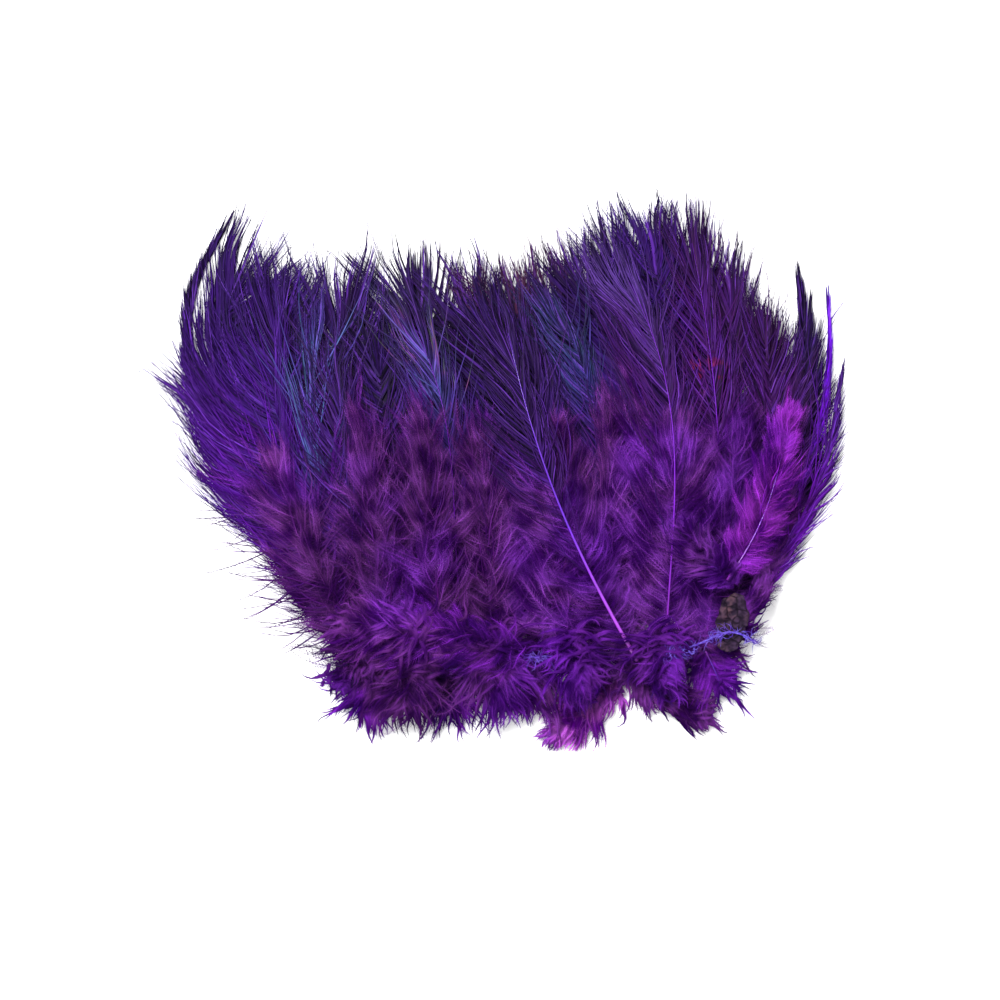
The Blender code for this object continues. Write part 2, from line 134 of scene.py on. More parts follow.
# %% Table of feathers
FEATHERS = (
    ("left_dark_sickle", (-31, -53), (-67, 60), -36, 36, 5, 4, "sickle", "ink"),
    ("left_back_feather", (-29, -54), (-63, 50), -36, 26, 15, 14, "swept", "violet"),
    ("left_fringe_feather", (-26, -54), (-50, 46), -28, 14, 18, 18, "hackle", "blue"),
    ("left_crossing_feather", (-18, -53), (-37, 42), -26, 8, 18, 18, "hackle", "dusk"),
    ("spike_feather", (-11, -53), (-22, 48), -20, -22, 17, 17, "hackle", "dusk"),
    ("middle_fringe_feather", (-3, -51), (-8, 44), -14, -24, 18, 18, "hackle", "dusk"),
    ("brown_fringe_feather", (4, -50), (3, 44), -12, -28, 18, 18, "hackle", "brown"),
    ("brown_tip_feather", (12, -49), (13, 46), -10, -26, 18, 18, "hackle", "brown"),
    ("beside_tall_feather", (19, -49), (22, 50), -8, -20, 18, 18, "hackle", "dusk"),
    ("tall_left_feather", (27, -48), (30, 57), -4, -16, 18, 18, "hackle", "blue"),
    ("tall_middle_feather", (34, -48), (39, 60), 0, -14, 18, 18, "hackle", "violet"),
    ("tall_right_feather", (41, -48), (49, 60), 6, -12, 18, 18, "hackle", "plum"),
    ("right_fringe_feather", (47, -48), (59, 47), 12, -10, 18, 18, "hackle", "plum"),
    ("right_shoulder_feather", (52, -46), (68, 35), 18, -10, 16, 16, "hackle", "plum"),
    ("right_back_feather", (56, -44), (75, 22), 24, -4, 15, 12, "hackle", "plum"),
    ("right_dark_sickle", (58, -42), (77, 47), 26, -10, 4, 4, "sickle", "ink"),
    ("right_violet_sickle", (61, -40), (84, 44), 26, -6, 5, 5, "sickle", "bright"),
    ("right_edge_feather", (62, -39), (86, 15), 32, 6, 7, 6, "sickle", "magenta"),

    ("left_wisp_feather", (-31, -52), (-74, 18), -34, -44, 20, 18, "swept", "bright"),
    ("left_low_feather", (-31, -53), (-62, -4), -36, -30, 14, 15, "swept", "grape"),
    ("left_wide_feather", (-28, -54), (-53, 44), -32, 8, 30, 14, "swept", "violet"),
    ("left_pale_feather", (-25, -54), (-43, 34), -22, 14, 11, 11, "hackle", "pale_blue"),
    ("left_middle_feather", (-21, -54), (-38, 24), -24, 0, 15, 15, "hackle", "dusk"),
    ("dark_gap_feather", (-14, -53), (-29, 32), -22, -6, 15, 15, "hackle", "ink"),
    ("iridescent_feather", (-5, -51), (-20, 36), -14, -28, 19, 12, "hackle", "iridescent"),
    ("dark_middle_feather", (6, -50), (-2, 39), -16, -24, 17, 17, "hackle", "ink"),
    ("teal_feather", (28, -48), (15, 40), -4, -34, 18, 12, "hackle", "teal"),
    ("dusky_middle_feather", (16, -49), (8, 32), -10, -20, 16, 16, "hackle", "dusk"),
    ("right_middle_feather", (31, -48), (28, 42), -2, -20, 18, 17, "hackle", "blue"),
    ("plum_shoulder_feather", (57, -44), (66, 40), 20, -16, 16, 16, "hackle", "plum"),
    ("plum_quill_feather", (53, -46), (50, 56), 9, -11, 16, 16, "hackle", "plum"),

    ("left_down_feather", (-28, -54), (-51, -6), -34, -18, 14, 15, "plume", "grape"),
    ("second_down_feather", (-21, -54), (-31, 4), -22, -10, 16, 16, "plume", "grape"),
    ("third_down_feather", (-10, -52), (-17, 6), -18, -10, 16, 16, "plume", "grape"),
    ("middle_down_feather", (2, -50), (-3, 4), -14, -10, 16, 16, "plume", "grape"),
    ("fifth_down_feather", (15, -49), (17, 2), -4, -4, 16, 16, "plume", "grape"),
    ("sixth_down_feather", (26, -48), (30, 6), 0, 2, 16, 16, "plume", "grape"),
    ("seventh_down_feather", (42, -48), (46, 4), 2, 6, 16, 16, "plume", "grape"),
    ("right_down_feather", (52, -46), (61, 4), 14, 8, 15, 15, "plume", "grape"),
    ("tall_quill_feather", (43, -48), (34, 46), 2, -28, 24, 15, "hackle", "violet"),
    ("front_quill_feather", (36, -48), (4, 33), -30, -12, 16, 15, "hackle", "violet"),

    ("left_corner_tuft", (-31, -48), (-37, -52), -120, -130, 7, 7, "tuft", "ink"),
    ("left_bottom_tuft", (-28, -50), (-31, -58), -165, -172, 12, 12, "tuft", "bright"),
    ("second_bottom_tuft", (-21, -47), (-21, -57), -178, -176, 12, 12, "tuft", "grape"),
    ("third_bottom_tuft", (-11, -49), (-11, -58), 178, 178, 12, 12, "tuft", "bright"),
    ("fourth_bottom_tuft", (0, -45), (1, -56), 176, 174, 12, 12, "tuft", "magenta"),
    ("fifth_bottom_tuft", (10, -48), (10, -56), 180, 180, 12, 12, "tuft", "grape"),
    ("sixth_bottom_tuft", (21, -45), (23, -53), 174, 174, 11, 11, "tuft", "violet"),
    ("mauve_bottom_feather", (32, -53), (18, -66), -126, -132, 10, 10, "tuft", "mauve"),
    ("right_bottom_feather", (35, -51), (51, -61), 130, 112, 9, 9, "tuft", "grape"),
    ("seventh_bottom_tuft", (41, -44), (42, -53), 174, 172, 11, 11, "tuft", "violet"),
    ("frayed_right_tuft", (53, -45), (57, -54), 158, 160, 10, 10, "tuft", "bright"),
    ("right_side_tuft", (61, -40), (67, -30), 30, 14, 6, 6, "tuft", "ink"),
    ("lower_plume", (5, -45), (-20, -42), -84, -100, 15, 10, "plume", "grape"),
    ("side_plume", (-18, -40), (-35, -41), -86, -96, 10, 8, "tuft", "bright"),
    ("scrap_fan_feather", (60, -29), (50, -18), -48, -34, 8, 8, "tuft", "grape"),
    ("magenta_plume", (58, -28), (73, 10), 36, 10, 10, 10, "plume", "magenta"),
)

KEYS = ("name", "root", "tip", "lean_root", "lean_tip", "left", "right", "form", "dye")
ROWS = [dict(zip(KEYS, row)) for row in FEATHERS]

# Barb length along the feather as a share of the longest, and barb angle in degrees
FORMS = {
    "hackle": {"length": ((0.0, 0.5), (0.25, 0.9), (0.5, 1.0), (0.8, 0.85), (1.0, 0.5)),
               "angle": ((0.0, 62.0), (0.4, 52.0), (0.8, 36.0), (1.0, 22.0))},
    "swept": {"length": ((0.0, 0.2), (0.3, 0.4), (0.6, 1.0), (0.85, 0.8), (1.0, 0.45)),
              "angle": ((0.0, 40.0), (0.4, 48.0), (0.8, 36.0), (1.0, 22.0))},
    "sickle": {"length": ((0.0, 0.7), (0.35, 1.0), (0.8, 1.0), (1.0, 0.8)),
               "angle": ((0.0, 14.0), (0.5, 9.0), (1.0, 4.0))},
    "plume": {"length": ((0.0, 0.7), (0.3, 0.95), (0.6, 1.0), (1.0, 0.75)),
              "angle": ((0.0, 74.0), (0.5, 54.0), (1.0, 24.0))},
    "tuft": {"length": ((0.0, 0.7), (0.5, 1.0), (1.0, 0.7)),
             "angle": ((0.0, 66.0), (0.6, 48.0), (1.0, 28.0))},
}

# A firm vane isn't even: one side leans out nearly straight, the other follows the
# quill and curls back over it. For each side: length shares, angles and curl.
LEANING = (((0.0, 0.6), (0.25, 1.2), (0.55, 1.4), (0.85, 1.35), (1.0, 1.25)),
           ((0.0, 62.0), (0.4, 44.0), (0.7, 35.0), (1.0, 27.0)), 0.4)
FOLLOWING = (((0.0, 0.6), (0.25, 1.1), (0.55, 1.3), (0.85, 1.3), (1.0, 1.25)),
             ((0.0, 60.0), (0.4, 34.0), (0.7, 24.0), (1.0, 13.0)), 1.15)
SWEEPING = (((0.0, 0.25), (0.3, 0.6), (0.5, 1.0), (0.75, 0.85), (1.0, 0.55)),
            ((0.0, 46.0), (0.3, 80.0), (0.6, 74.0), (0.85, 52.0), (1.0, 30.0)), 0.98)
WISPY = (((0.0, 0.3), (0.3, 0.6), (0.6, 1.1), (0.85, 1.1), (1.0, 0.8)),
         ((0.0, 46.0), (0.4, 44.0), (0.8, 32.0), (1.0, 20.0)), 0.8)
EVEN = (((0.0, 0.6), (0.25, 1.0), (0.55, 1.2), (0.85, 1.15), (1.0, 0.95)),
        ((0.0, 60.0), (0.4, 40.0), (0.7, 30.0), (1.0, 22.0)), 0.55)
SLENDER = (((0.0, 0.7), (0.3, 1.0), (0.8, 1.0), (1.0, 0.8)),
           ((0.0, 14.0), (0.5, 9.0), (1.0, 4.0)), 0.8)
UPRIGHT = (((0.0, 0.6), (0.3, 1.0), (0.8, 1.0), (1.0, 0.6)),
           ((0.0, 20.0), (0.5, 11.0), (1.0, 5.0)), 0.4)
BROAD = (((0.0, 0.6), (0.25, 1.1), (0.55, 1.4), (0.85, 1.4), (1.0, 1.1)),
         ((0.0, 66.0), (0.4, 62.0), (0.7, 58.0), (0.9, 48.0), (1.0, 42.0)), 0.4)
CLOSE = (((0.0, 0.6), (0.25, 1.1), (0.55, 1.4), (0.85, 1.4), (1.0, 1.1)),
         ((0.0, 66.0), (0.4, 56.0), (0.7, 50.0), (0.9, 42.0), (1.0, 34.0)), 0.95)
VANES = {"hackle": {-1: LEANING, 1: FOLLOWING}, "swept": {-1: WISPY, 1: WISPY},
         "sickle": {-1: SLENDER, 1: SLENDER}}
print("feathers:", len(ROWS))

# %% [markdown]
# ## Quill and barb curves
#
# A quill is one smooth Bezier curve. A barb leaves it at an angle and curls
# towards the tip, an arc whose angle falls by a steady share of its start. Numpy
# works out all the barbs of a side at once, because a bundle has over ten
# thousand of them.

# %% Curves in plan
MM = 0.001
HANDLE_SHARE = 0.38
BARE_QUILL_SHARE = 0.06
BARB_CURL = 0.6
BUNDLE_CENTRE = (2.4, -1.6)


def read_off(stops, place):
    """Values read off a short list of (place, value) stops."""
    return np.interp(place, [stop[0] for stop in stops], [stop[1] for stop in stops])


def heading(lean):
    """Unit vector for a lean in degrees clockwise from +Y."""
    angle = math.radians(lean)
    return np.array((math.sin(angle), math.cos(angle)))


def quill_line(row, place):
    """Plan points and directions of the quill, for places 0 at the root and 1 at the tip."""
    root = np.array(row["root"], float)
    tip = np.array(row["tip"], float)
    reach = HANDLE_SHARE * np.linalg.norm(tip - root)
    out = root + heading(row["lean_root"]) * reach
    back = tip - heading(row["lean_tip"]) * reach
    place = np.asarray(place)[:, None]
    rest = 1.0 - place
    point = root * rest ** 3 + out * 3 * rest * rest * place
    point = point + back * 3 * rest * place ** 2 + tip * place ** 3
    slope = (out - root) * rest * rest + (back - out) * 2 * rest * place + (tip - back) * place ** 2
    return point, slope / np.linalg.norm(slope, axis=1, keepdims=True)


def barb_arcs(row, place, side, start, length, curl, steps):
    """Plan curves of many barbs, as an array of barb, step and x, y."""
    point, ahead = quill_line(row, place)
    across = side * np.stack((ahead[:, 1], -ahead[:, 0]), axis=1)
    share = np.linspace(0.0, 1.0, steps + 1)[None, :]
    bend = (start * curl)[:, None]
    now = start[:, None] - bend * share
    forward = (np.sin(start)[:, None] - np.sin(now)) / bend * length[:, None]
    outward = (np.cos(now) - np.cos(start)[:, None]) / bend * length[:, None]
    return point[:, None] + ahead[:, None] * forward[..., None] + across[:, None] * outward[..., None]


def quill_length(row):
    """Length of the quill in millimetres."""
    point, _ = quill_line(row, np.linspace(0.0, 1.0, 40))
    return float(np.linalg.norm(np.diff(point, axis=0), axis=1).sum())


for row in ROWS:
    row["quill_length"] = quill_length(row)
print("longest quill, mm:", round(max(row["quill_length"] for row in ROWS), 1))

# %% [markdown]
# ## Height in the pile
#
# The feathers lie on each other in courses that follow one gentle mound. A
# feather's course isn't written down again: it is read from its own solid, as
# the share of the mound's height at which that solid lies.

# %% The mound and each feather's place in it
MOUND_EDGE = 11.0
MOUND_RISE = 9.0
MOUND_MIDDLE = (2.0, -6.0)
MOUND_REACH = (98.0, 80.0)
DROOP_FROM = -42.0
DROOP_OVER = 28.0
DROOP_DEPTH = 6.0


def mound(x, y):
    """Height of the whole pile over points of the table, in millimetres."""
    across = np.minimum(1.0, np.abs(x - MOUND_MIDDLE[0]) / MOUND_REACH[0])
    along = np.minimum(1.0, np.abs(y - MOUND_MIDDLE[1]) / MOUND_REACH[1])
    bump = np.cos(0.5 * np.pi * across) ** 2 * np.cos(0.5 * np.pi * along) ** 2
    droop = np.sin(0.5 * np.pi * np.clip((DROOP_FROM - y) / DROOP_OVER, 0.0, 1.0)) ** 2
    return MOUND_EDGE + MOUND_RISE * bump - DROOP_DEPTH * droop


def course_share(node):
    """Lowest share of the mound's height that a node's solid takes up."""
    mesh = NODES[node].data
    spot = np.empty(len(mesh.vertices) * 3)
    mesh.vertices.foreach_get("co", spot)
    spot = spot.reshape(-1, 3) / MM
    height = mound(spot[:, 0] + BUNDLE_CENTRE[0], spot[:, 1] + BUNDLE_CENTRE[1])
    return float((spot[:, 2] / height).min())


for row in ROWS:
    row["course"] = course_share(row["name"])
print("highest course share:", round(max(row["course"] for row in ROWS), 3))

# %% [markdown]
# ## Three patterns, modelled once
#
# A barb of a firm vane is a narrow ribbon that tapers to a hair. A barb of down
# is a thread with rows of fine barbules on both sides, like a bottle brush. A
# quill is a tapering tube. Each could be drawn afresh for every copy, but they
# differ only in their curve, length and width, so each is modelled once, along
# +X from 0 to 1, and laid along its own curve later.

# %% The ribbon of a firm barb
RIBBON_STEPS = 7
RIBBON_TAPER = (0.9, 1.0, 0.95, 0.82, 0.62, 0.42, 0.26, 0.1)


def edit(piece):
    """Only this piece is selected, and it is open for editing with nothing selected."""
    deselect()
    piece.select_set(True)
    bpy.context.view_layer.objects.active = piece
    bpy.ops.object.mode_set(mode="EDIT")
    bpy.ops.mesh.select_all(action="DESELECT")
    bpy.ops.object.mode_set(mode="OBJECT")


def pick(piece, wanted):
    """Selects the vertices that a test on their place picks, and opens the piece for editing."""
    edit(piece)
    for vertex in piece.data.vertices:
        vertex.select = wanted(vertex.co)
    bpy.ops.object.mode_set(mode="EDIT")


def ribbon(name, steps, taper):
    """A strip from 0 to 1 along X, as wide as its taper says, cut into triangles."""
    deselect()
    bpy.ops.mesh.primitive_grid_add(x_subdivisions=steps, y_subdivisions=1, size=1.0)
    strip = bpy.context.object
    strip.name = name
    bpy.ops.object.mode_set(mode="EDIT")
    bpy.ops.mesh.select_all(action="SELECT")
    bpy.ops.transform.translate(value=(0.5, 0.0, 0.0))
    bpy.ops.mesh.quads_convert_to_tris()
    bpy.ops.object.mode_set(mode="OBJECT")
    for step, width in enumerate(taper):
        pick(strip, lambda spot: abs(spot.x - step / steps) < 0.5 / steps)
        bpy.ops.transform.resize(value=(1.0, width, 1.0), center_override=(0.0, 0.0, 0.0))
        bpy.ops.object.mode_set(mode="OBJECT")
    return strip


firm_barb = ribbon("firm_barb", RIBBON_STEPS, RIBBON_TAPER)
print("firm barb triangles:", len(firm_barb.data.polygons))

# %% [markdown]
# The downy barb starts as a much narrower ribbon. One barbule, a thin triangle
# slanting forward, is repeated along it by an Array modifier, and a Mirror
# modifier gives the other side.

# %% The brush of a downy barb
THREAD_STEPS = 8
THREAD_TAPER = tuple(0.16 * (1.0 - 0.09 * step) for step in range(THREAD_STEPS + 1))
BARBULE_SLANT = 0.09
BARBULE_FOOT = 0.011


def brush(name, barbules):
    """A thread with a row of barbules on each side; a barbule reaches 1 sideways."""
    thread = ribbon(name, THREAD_STEPS, THREAD_TAPER)
    deselect()
    bpy.ops.mesh.primitive_circle_add(vertices=3, radius=1.0, fill_type="NGON")
    barbule = bpy.context.object
    corners = [vertex.index for vertex in barbule.data.vertices]
    places = ((0.0, 0.0, 0.0), (BARBULE_FOOT, 0.0, 0.0), (BARBULE_SLANT, 1.0, 0.0))
    for corner, place in zip(corners, places):
        barbule.data.vertices[corner].co = place
    row = barbule.modifiers.new("row", "ARRAY")
    row.count = barbules
    row.use_relative_offset = False
    row.use_constant_offset = True
    row.constant_offset_displace = ((1.0 - BARBULE_SLANT) / barbules, 0.0, 0.0)
    bpy.ops.object.modifier_apply(modifier="row")
    other_side = barbule.modifiers.new("other_side", "MIRROR")
    other_side.use_axis = (False, True, False)
    other_side.use_mirror_merge = False
    bpy.ops.object.modifier_apply(modifier="other_side")
    deselect()
    barbule.select_set(True)
    thread.select_set(True)
    bpy.context.view_layer.objects.active = thread
    bpy.ops.object.join()
    return thread


full_brush = brush("full_brush", 24)
thin_brush = brush("thin_brush", 10)
print("brush triangles:", len(full_brush.data.polygons), len(thin_brush.data.polygons))

# %% [markdown]
# A quill is a round tube of horn that tapers to a hair. A cone could stand for
# it, but a cone can't bend. So a circle is extruded in even steps along X, and
# each step can then follow the curve of its feather.

# %% The tube of a quill
QUILL_SIDES = 6
QUILL_STEPS = 16

deselect()
bpy.ops.mesh.primitive_circle_add(vertices=QUILL_SIDES, radius=1.0, fill_type="TRIFAN")
quill_tube = bpy.context.object
quill_tube.name = "quill_tube"
bpy.ops.object.mode_set(mode="EDIT")
bpy.ops.mesh.select_all(action="SELECT")
bpy.ops.transform.rotate(value=math.radians(90.0), orient_axis="Y", center_override=(0.0, 0.0, 0.0))
for step in range(QUILL_STEPS):
    bpy.ops.mesh.extrude_region_move(TRANSFORM_OT_translate={"value": (1.0 / QUILL_STEPS, 0.0, 0.0)})
bpy.ops.mesh.select_all(action="SELECT")
bpy.ops.mesh.quads_convert_to_tris()
bpy.ops.mesh.normals_make_consistent(inside=False)
bpy.ops.object.mode_set(mode="OBJECT")
print("quill triangles:", len(quill_tube.data.polygons))

# %% [markdown]
# ## Laying a pattern along a curve
#
# This is what a Curve modifier does, for thousands of copies at once: a
# pattern's X becomes a place along the barb's own curve, its Y goes sideways and
# its Z goes up. Each copy gets its own roll, so that neighbours catch the light
# differently, and the barbules get a random reach, so that no two brushes match.

# %% Pattern arrays and the laying function
LOWEST = 0.03


def pattern_arrays(piece):
    """Corner places and triangles of a finished pattern, which is then taken away."""
    mesh = piece.data
    spot = np.empty(len(mesh.vertices) * 3)
    mesh.vertices.foreach_get("co", spot)
    triangles = np.empty(len(mesh.polygons) * 3, int)
    mesh.polygons.foreach_get("vertices", triangles)
    bpy.data.objects.remove(piece)
    return spot.reshape(-1, 3), triangles.reshape(-1, 3)


PATTERNS = {
    "firm": pattern_arrays(firm_barb),
    "full": pattern_arrays(full_brush),
    "thin": pattern_arrays(thin_brush),
    "quill": pattern_arrays(quill_tube),
}


def lay(pattern, spine, width, roll, jitter=0.0, rng=None):
    """Places of one pattern laid along many spines (barb, step, xyz), as barb, corner, xyz."""
    spot, _ = PATTERNS[pattern]
    steps = spine.shape[1] - 1
    spot_x = np.clip(spot[:, 0], 0.0, 1.0)
    low = np.minimum((spot_x * steps).astype(int), steps - 1)
    part = (spot_x * steps - low)[None, :, None]
    base = spine[:, low] * (1.0 - part) + spine[:, low + 1] * part
    slope = np.gradient(spine, axis=1)
    slope = slope[:, low] * (1.0 - part) + slope[:, low + 1] * part
    slope /= np.linalg.norm(slope, axis=2, keepdims=True) + 1e-9
    side = np.cross(slope, (0.0, 0.0, 1.0))
    side /= np.linalg.norm(side, axis=2, keepdims=True) + 1e-9
    up = np.cross(side, slope)
    out = -np.broadcast_to(spot[:, 1], (len(spine), len(spot))).copy()
    rise = np.broadcast_to(spot[:, 2], out.shape).copy()
    if jitter:
        reach = np.clip(1.0 + rng.normal(0.0, jitter, out.shape), 0.3, 1.8)
        rise = rise + np.abs(out) * rng.normal(0.0, 0.35, out.shape)
        out = out * reach
        taper = 1.0 - 0.55 * spot_x[None, :] ** 2
        out, rise = out * taper, rise * taper
    width = np.asarray(width)[:, None]
    turn_cos, turn_sin = np.cos(roll)[:, None], np.sin(roll)[:, None]
    sideways = (out * turn_cos - rise * turn_sin) * width
    upward = (out * turn_sin + rise * turn_cos) * width
    laid = base + side * sideways[..., None] + up * upward[..., None]
    laid[..., 2] = np.maximum(laid[..., 2], LOWEST)
    return laid


# %% [markdown]
# ## Locks, waves and stray hairs
#
# Barbs cling to their neighbours, so the fringe parts into pointed locks. Each
# barb is drawn towards the middle barb of its lock, more and more towards its
# tip, and the middle one is the longest. A slow wave is added along each barb,
# small on a firm one and large on a downy one.

# %% How barbs group and wave
def locks(count, smallest, largest, rng):
    """For each barb in a row, the number of its lock's middle barb and its distance from it, 0 to 1."""
    middle = np.zeros(count, int)
    away = np.zeros(count)
    first = 0
    while first < count:
        size = int(rng.integers(smallest, largest + 1))
        last = min(count, first + size)
        centre = (first + last - 1) // 2
        middle[first:last] = centre
        away[first:last] = np.abs(np.arange(first, last) - centre) / max(1, size / 2)
        first = last
    return middle, away


def wavy(plan, amount, turns, rng):
    """Adds a sideways wave that grows along each plan curve."""
    share = np.linspace(0.0, 1.0, plan.shape[1])[None, :]
    start = rng.uniform(0.0, 2.0 * np.pi, (len(plan), 1))
    speed = turns * rng.uniform(0.6, 1.4, (len(plan), 1))
    size = amount * rng.uniform(0.3, 1.3, (len(plan), 1))
    swing = size * share * np.sin(2.0 * np.pi * speed * share + start)
    slope = np.gradient(plan, axis=1)
    normal = np.stack((slope[..., 1], -slope[..., 0]), axis=2)
    normal /= np.linalg.norm(normal, axis=2, keepdims=True) + 1e-9
    return plan + normal * swing[..., None]


def ruffle(plan, amount, rng):
    """Pushes the outer parts of neighbouring barbs the same way, as a breath of air would."""
    share = np.linspace(0.0, 1.0, plan.shape[1])[None, :]
    push = np.zeros_like(plan)
    for wavelength in (11.0, 17.0, 26.0):
        turn = rng.uniform(0.0, 2.0 * np.pi)
        phase = 2.0 * np.pi * (plan[..., 0] * math.cos(turn) + plan[..., 1] * math.sin(turn)) / wavelength
        start = rng.uniform(0.0, 2.0 * np.pi, 2)
        push += np.stack((np.sin(phase + start[0]), np.sin(phase + start[1])), axis=2) * wavelength / 26.0
    return plan + amount * share[..., None] * push


# %% [markdown]
# ## Building one feather
#
# A feather is one mesh: the quill, the downy barbs of its foot, the firm barbs
# of its vane on the left and on the right, and a few loose hairs. It could be
# thousands of objects joined at the end, but numpy lays all the corners into one
# mesh in a moment. A point attribute called barb keeps, for each corner, its
# share of the way along its barb, its place along the feather and a number for
# its barb that sets its painted light and shade, partly random, and one called
# fuzz keeps how far out it is on a barbule.
# The paint follows these numbers. The UV map gives each kind its own strip.

# %% The pile that becomes one mesh
# Strips of the UV map, in u
STRIPS = {("quill", 0): (0.0, 0.03), ("firm", -1): (0.04, 0.3), ("firm", 1): (0.31, 0.57),
          ("down", -1): (0.58, 0.76), ("down", 1): (0.77, 0.95), ("under", -1): (0.953, 0.963),
          ("under", 1): (0.965, 0.975), ("hair", -1): (0.977, 0.987), ("hair", 1): (0.989, 0.999)}


class Pile:
    """Collects the laid copies of a feather before they become its one mesh."""

    def __init__(self):
        self.spots, self.faces, self.barbs = [], [], []
        self.fuzz, self.strips, self.paints = [], [], []
        self.count = 0

    def add(self, pattern, spots, place, strand, strip, paint):
        """Adds laid copies: their corners, their numbers for the paint and their strip of the map."""
        shape, triangles = PATTERNS[pattern]
        copies, corners = spots.shape[:2]
        start = self.count + np.arange(copies)[:, None, None] * corners
        along = np.broadcast_to(np.clip(shape[:, 0], 0.0, 1.0), (copies, corners))
        sides = np.clip(0.5 + 0.45 * shape[:, 1] / np.abs(shape[:, 1]).max(), 0.02, 0.98)
        place = np.broadcast_to(np.asarray(place)[:, None], (copies, corners))
        strand = np.broadcast_to(np.asarray(strand)[:, None], (copies, corners))
        low, high = STRIPS[strip]
        u = low + (high - low) * (0.02 + 0.96 * along)
        v = (np.arange(copies)[:, None] + sides[None, :]) / copies
        if strip[0] == "quill":
            turn = np.arctan2(shape[:, 2], shape[:, 1]) / (2.0 * np.pi) % 1.0
            u = np.broadcast_to(low + (high - low) * (0.05 + 0.9 * turn), (copies, corners))
            cap = np.where(np.hypot(shape[:, 1], shape[:, 2]) < 0.5, 0.008 * np.sign(along - 0.5), 0.0)
            v = 0.01 + 0.98 * along + cap
        out = np.clip(np.abs(shape[:, 1]), 0.0, 1.0) if strip[0] == "down" else np.zeros(corners)
        self.spots.append(spots.reshape(-1, 3))
        self.faces.append((start + triangles[None]).reshape(-1, 3))
        self.barbs.append(np.stack((along, place, strand), axis=2).reshape(-1, 3))
        self.fuzz.append(np.broadcast_to(out, (copies, corners)).ravel())
        self.strips.append(np.stack((u, v), axis=2).reshape(-1, 2))
        self.paints.append(np.full(copies * len(triangles), paint))
        self.count += copies * corners

    def mesh(self, name):
        """The one mesh of all that was added."""
        spots = np.concatenate(self.spots)
        spots = (spots - np.array((*BUNDLE_CENTRE, 0.0))) * MM
        faces = np.concatenate(self.faces)
        strips = np.concatenate(self.strips)
        mesh = bpy.data.meshes.new(name)
        mesh.vertices.add(len(spots))
        mesh.loops.add(faces.size)
        mesh.polygons.add(len(faces))
        mesh.vertices.foreach_set("co", spots.ravel())
        mesh.loops.foreach_set("vertex_index", faces.ravel())
        mesh.polygons.foreach_set("loop_start", np.arange(0, faces.size, 3))
        mesh.polygons.foreach_set("material_index", np.concatenate(self.paints))
        mesh.update()
        mesh.shade_smooth()
        barb = mesh.attributes.new("barb", "FLOAT_VECTOR", "POINT")
        barb.data.foreach_set("vector", np.concatenate(self.barbs).astype(np.float32).ravel())
        fuzz = mesh.attributes.new("fuzz", "FLOAT", "POINT")
        fuzz.data.foreach_set("value", np.concatenate(self.fuzz).astype(np.float32))
        layout = mesh.uv_layers.new(name="OFBake")
        layout.data.foreach_set("uv", strips[faces.ravel()].astype(np.float32).ravel())
        mesh.validate()
        return mesh


print("strips of the map:", len(STRIPS))

# %% [markdown]
# ## Keeping to the pile
#
# A barb lies in its feather's own course of the pile, and it rises a little from
# it where it is loose. A long loose barb could stand out further than any barb
# of the real bundle, so its curve is shortened where it would pass the edges.

# %% Edges of the bundle and the height of a curve
EDGES = ((-90.5, -71.5), (90.5, 70.5))
LEAST_REACH = 0.1
LEAST_SHARE = 0.15
OVER_COURSE = 0.25


def kept_inside(plan):
    """Shortens the curves whose tips would pass the bundle's widest points."""
    foot = plan[:, :1]
    reach = plan[:, -1:] - foot
    room = np.where(reach > 0.0, np.array(EDGES[1]) - foot, np.array(EDGES[0]) - foot)
    short = np.abs(reach) < LEAST_REACH
    share = np.clip(room / np.where(short, LEAST_REACH, reach), LEAST_SHARE, 1.0)
    share = np.where(short, 1.0, share)
    return foot + (plan - foot) * share.min(axis=2, keepdims=True)


def heights(plan, row, lift):
    """Plan curves with their height: the feather's own course, plus a lift for each point."""
    plan = kept_inside(plan)
    level = mound(plan[..., 0], plan[..., 1]) * row["course"] + OVER_COURSE
    height = np.maximum(level + lift, LOWEST)
    return np.concatenate((plan, height[..., None]), axis=2)


def vane_of(place):
    """Place along the vane, which starts where the bare quill ends."""
    return np.maximum(0.0, (place - BARE_QUILL_SHARE) / (1.0 - BARE_QUILL_SHARE))


def side_reach(row, side):
    """Longest downy barb of a side."""
    return row["right"] if side > 0 else row["left"]


def painted_light_and_shade(middle_away, rise, rng, change=0.2):
    """A strand's number for its painted light and shade: painted light on top of its lock and where it
    rises, painted shade at its edges and low down.
    """
    shade = 0.6 - 0.3 * middle_away + 0.2 * rise + rng.normal(0.0, change, len(middle_away))
    return np.clip(shade, 0.0, 1.0)


print("room for the barbs, mm:", EDGES[1][0] - EDGES[0][0], "by", EDGES[1][1] - EDGES[0][1])

# %% [markdown]
# ## The firm vane
#
# The upper part of a rump feather is a loose vane of flat barbs that don't hook
# together. They could be one sheet with a picture of barbs on it, but its edge
# would be smooth, where the real one ends in single hairs. So each barb is laid
# on its own, and a fan of barbs closes the tip. A feather deep in the pile has
# fewer and wider barbs, because only their tips show.

# %% Firm barbs
BARB_STEPS = 14
HIDDEN_COURSE = 0.3
# Places on the feather where the firm barbs start and where the down ends
DOWN_ENDS = {"hackle": (0.42, 0.54), "swept": (0.36, 0.48), "sickle": (0.12, 0.2),
             "plume": (1.1, 1.2), "tuft": (1.1, 1.2)}
LOCK_SIZES = (3, 12)
LOCK_PULL = {"firm": 0.4, "plume": 0.4, "tuft": 0.15}
FIRM_SPACING = 0.33
FIRM_WIDTH = 0.33
HIDDEN_SPACING = 1.15
HIDDEN_WIDE = 2.15
TIP_PLACE = 0.9
TIP_FAN = 28
# Spread of the angles in degrees, of a lock and of a single barb, and their limits
FIRM_SWING = (3.0, 2.2)
FIRM_ANGLES = (1.5, 88.0)
